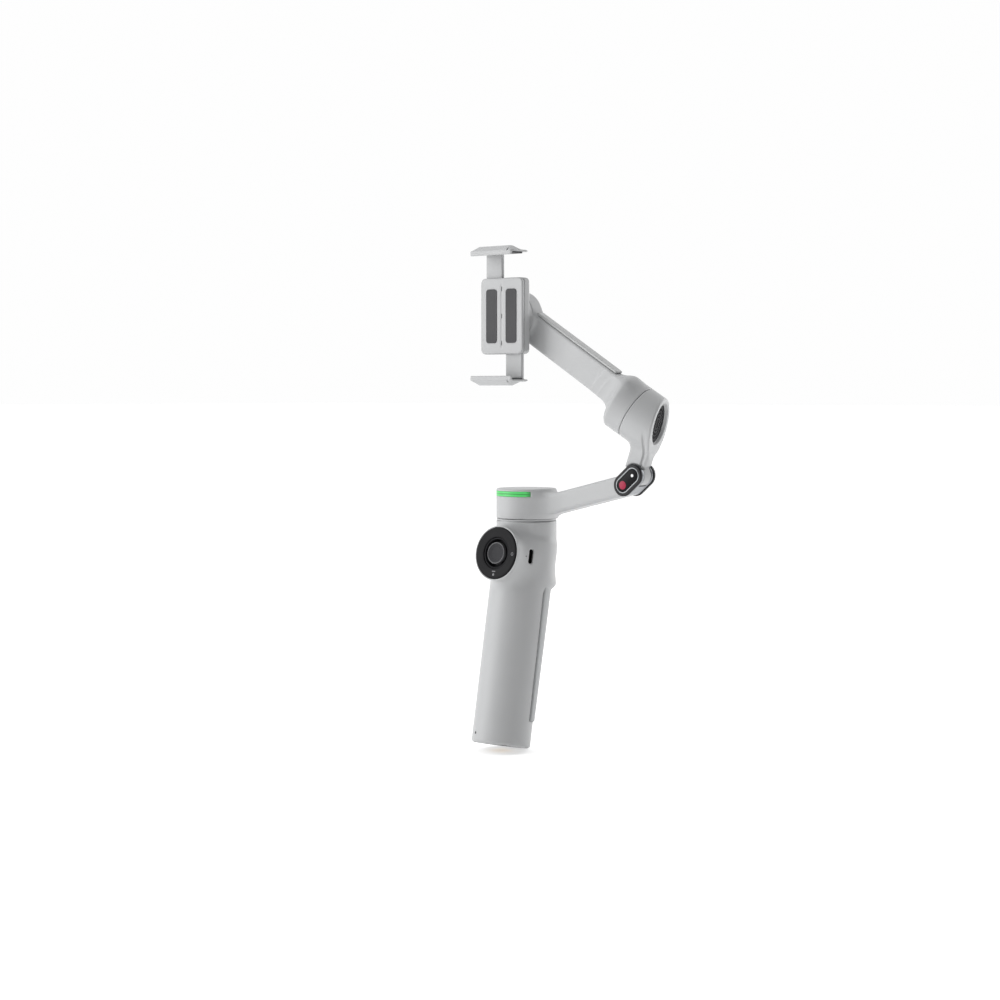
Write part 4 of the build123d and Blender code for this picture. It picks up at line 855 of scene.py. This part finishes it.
def make_world():
    """Pale surround, dimmer towards the object's front right, so that its forms turn into shade there."""
    world = bpy.data.worlds.new("studio")
    bpy.context.scene.world = world
    world.use_nodes = True
    tree = world.node_tree
    back = tree.nodes["Background"]
    where = tree.nodes.new("ShaderNodeTexCoord")
    dot = tree.nodes.new("ShaderNodeVectorMath")
    dot.operation = "DOT_PRODUCT"
    dim = (ACROSS * 0.42 - AHEAD * 0.9 - Vector((0, 0, 0.1))).normalized()
    dot.inputs[1].default_value = (dim.x, dim.y, dim.z)
    tree.links.new(where.outputs["Generated"], dot.inputs[0])
    level = tree.nodes.new("ShaderNodeMapRange")
    level.interpolation_type = "SMOOTHSTEP"
    level.inputs["From Min"].default_value = DIM_FROM
    level.inputs["From Max"].default_value = DIM_TO
    level.inputs["To Min"].default_value = 1.0
    level.inputs["To Max"].default_value = DIM_LEVEL
    tree.links.new(dot.outputs["Value"], level.inputs["Value"])
    tree.links.new(level.outputs["Result"], back.inputs["Strength"])
    back.inputs["Color"].default_value = (0.99, 0.99, 0.99, 1)


def softbox(name, at, towards, size, power):
    """A large soft light, not itself seen."""
    light = bpy.data.lights.new(name, "AREA")
    light.shape = "RECTANGLE"
    light.size, light.size_y = size
    light.energy = power
    obj = bpy.data.objects.new(name, light)
    bpy.context.scene.collection.objects.link(obj)
    obj.location = at
    obj.rotation_mode = "QUATERNION"
    obj.rotation_quaternion = (Vector(towards) - Vector(at)).to_track_quat("-Z", "Y")
    obj.visible_camera = False


def make_lights():
    """Key from the left, rim from the right behind, and a weak top light."""
    centre = Vector((0.0, 0.0258, 0.15))
    softbox("key", centre - ACROSS * 1.4 - AHEAD * 0.15 + Vector((0, 0, 0.4)), centre, (1.0, 1.4), 13)
    softbox("rim", centre + ACROSS * 1.2 + AHEAD * 0.9 + Vector((0, 0, 0.3)), centre, (0.8, 1.4), 9)
    softbox("top", centre + Vector((0, 0, 1.5)) + AHEAD * 0.3, centre, (1.4, 1.4), 4)


LENS_MM, SENSOR_MM, SHIFT_UP = 72, 36, -0.1074
CAMERA_Z, CAMERA_AWAY, CAMERA_LEFT = 0.2214, 1.276, 0.0169  # metres, from the pan's axis


def make_camera():
    """Level camera at the photograph's viewing angle."""
    camera = bpy.data.objects.new("camera", bpy.data.cameras.new("camera"))
    bpy.context.scene.collection.objects.link(camera)
    camera.data.sensor_width = SENSOR_MM
    camera.data.lens = LENS_MM
    camera.data.shift_y = SHIFT_UP
    pan = Vector((PAN_XY[0] * MM, PAN_XY[1] * MM, CAMERA_Z))
    camera.location = pan - AHEAD * CAMERA_AWAY - ACROSS * CAMERA_LEFT
    camera.rotation_mode = "QUATERNION"
    camera.rotation_quaternion = AHEAD.to_track_quat("-Z", "Y")
    bpy.context.scene.camera = camera


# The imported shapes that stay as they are, by finish.
CARRIED = (
    (BODY, ("base_cap", "pan_base", "pan_top_cap", "power_button", "roll_rotor_plate")),
    (PANEL, ("trigger",)),
    (INNER, ("inner_frame", "joystick_base", "joystick_well", "joystick_yoke", "rod_guide", "usb_c_socket",
             "vent_grille")),
    (PAD, ("clamp_face_pads", "lower_jaw_pad", "upper_jaw_pad")),
    (ROD, ("rod_stage_1", "rod_stage_2", "rod_stage_3")),
    (STEEL, ("base_screws", "clamp_screws", "clamp_spring_drums", "fold_pin", "pan_bearing", "pan_shaft",
             "roll_bearing", "roll_shaft", "tilt_bearing", "tilt_shaft", "trigger_pin", "trigger_springs")),
    (MAGNET, ("pan_magnet_ring", "roll_magnet_ring", "tilt_magnet_ring")),
    (WINDING, ("pan_stator", "roll_stator", "tilt_stator")),
    (BOARD, ("control_board", "main_board")),
    (WRAP, ("battery",)),
    (BRASS, ("thread_insert",)),
)


def carry_over():
    """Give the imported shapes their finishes."""
    for material, names in CARRIED:
        for name in names:
            mesh = frame["nodes"][name].data
            if not mesh.materials:
                mesh.materials.append(material)
            for i in range(len(mesh.materials)):
                mesh.materials[i] = material


bpy.context.scene.view_settings.view_transform = "Standard"
make_camera()
make_world()
make_lights()
make_stage()
make_grip()
make_pan()
make_light()
make_knuckle()
make_upper()
make_inner()
make_clamp()
carry_over()
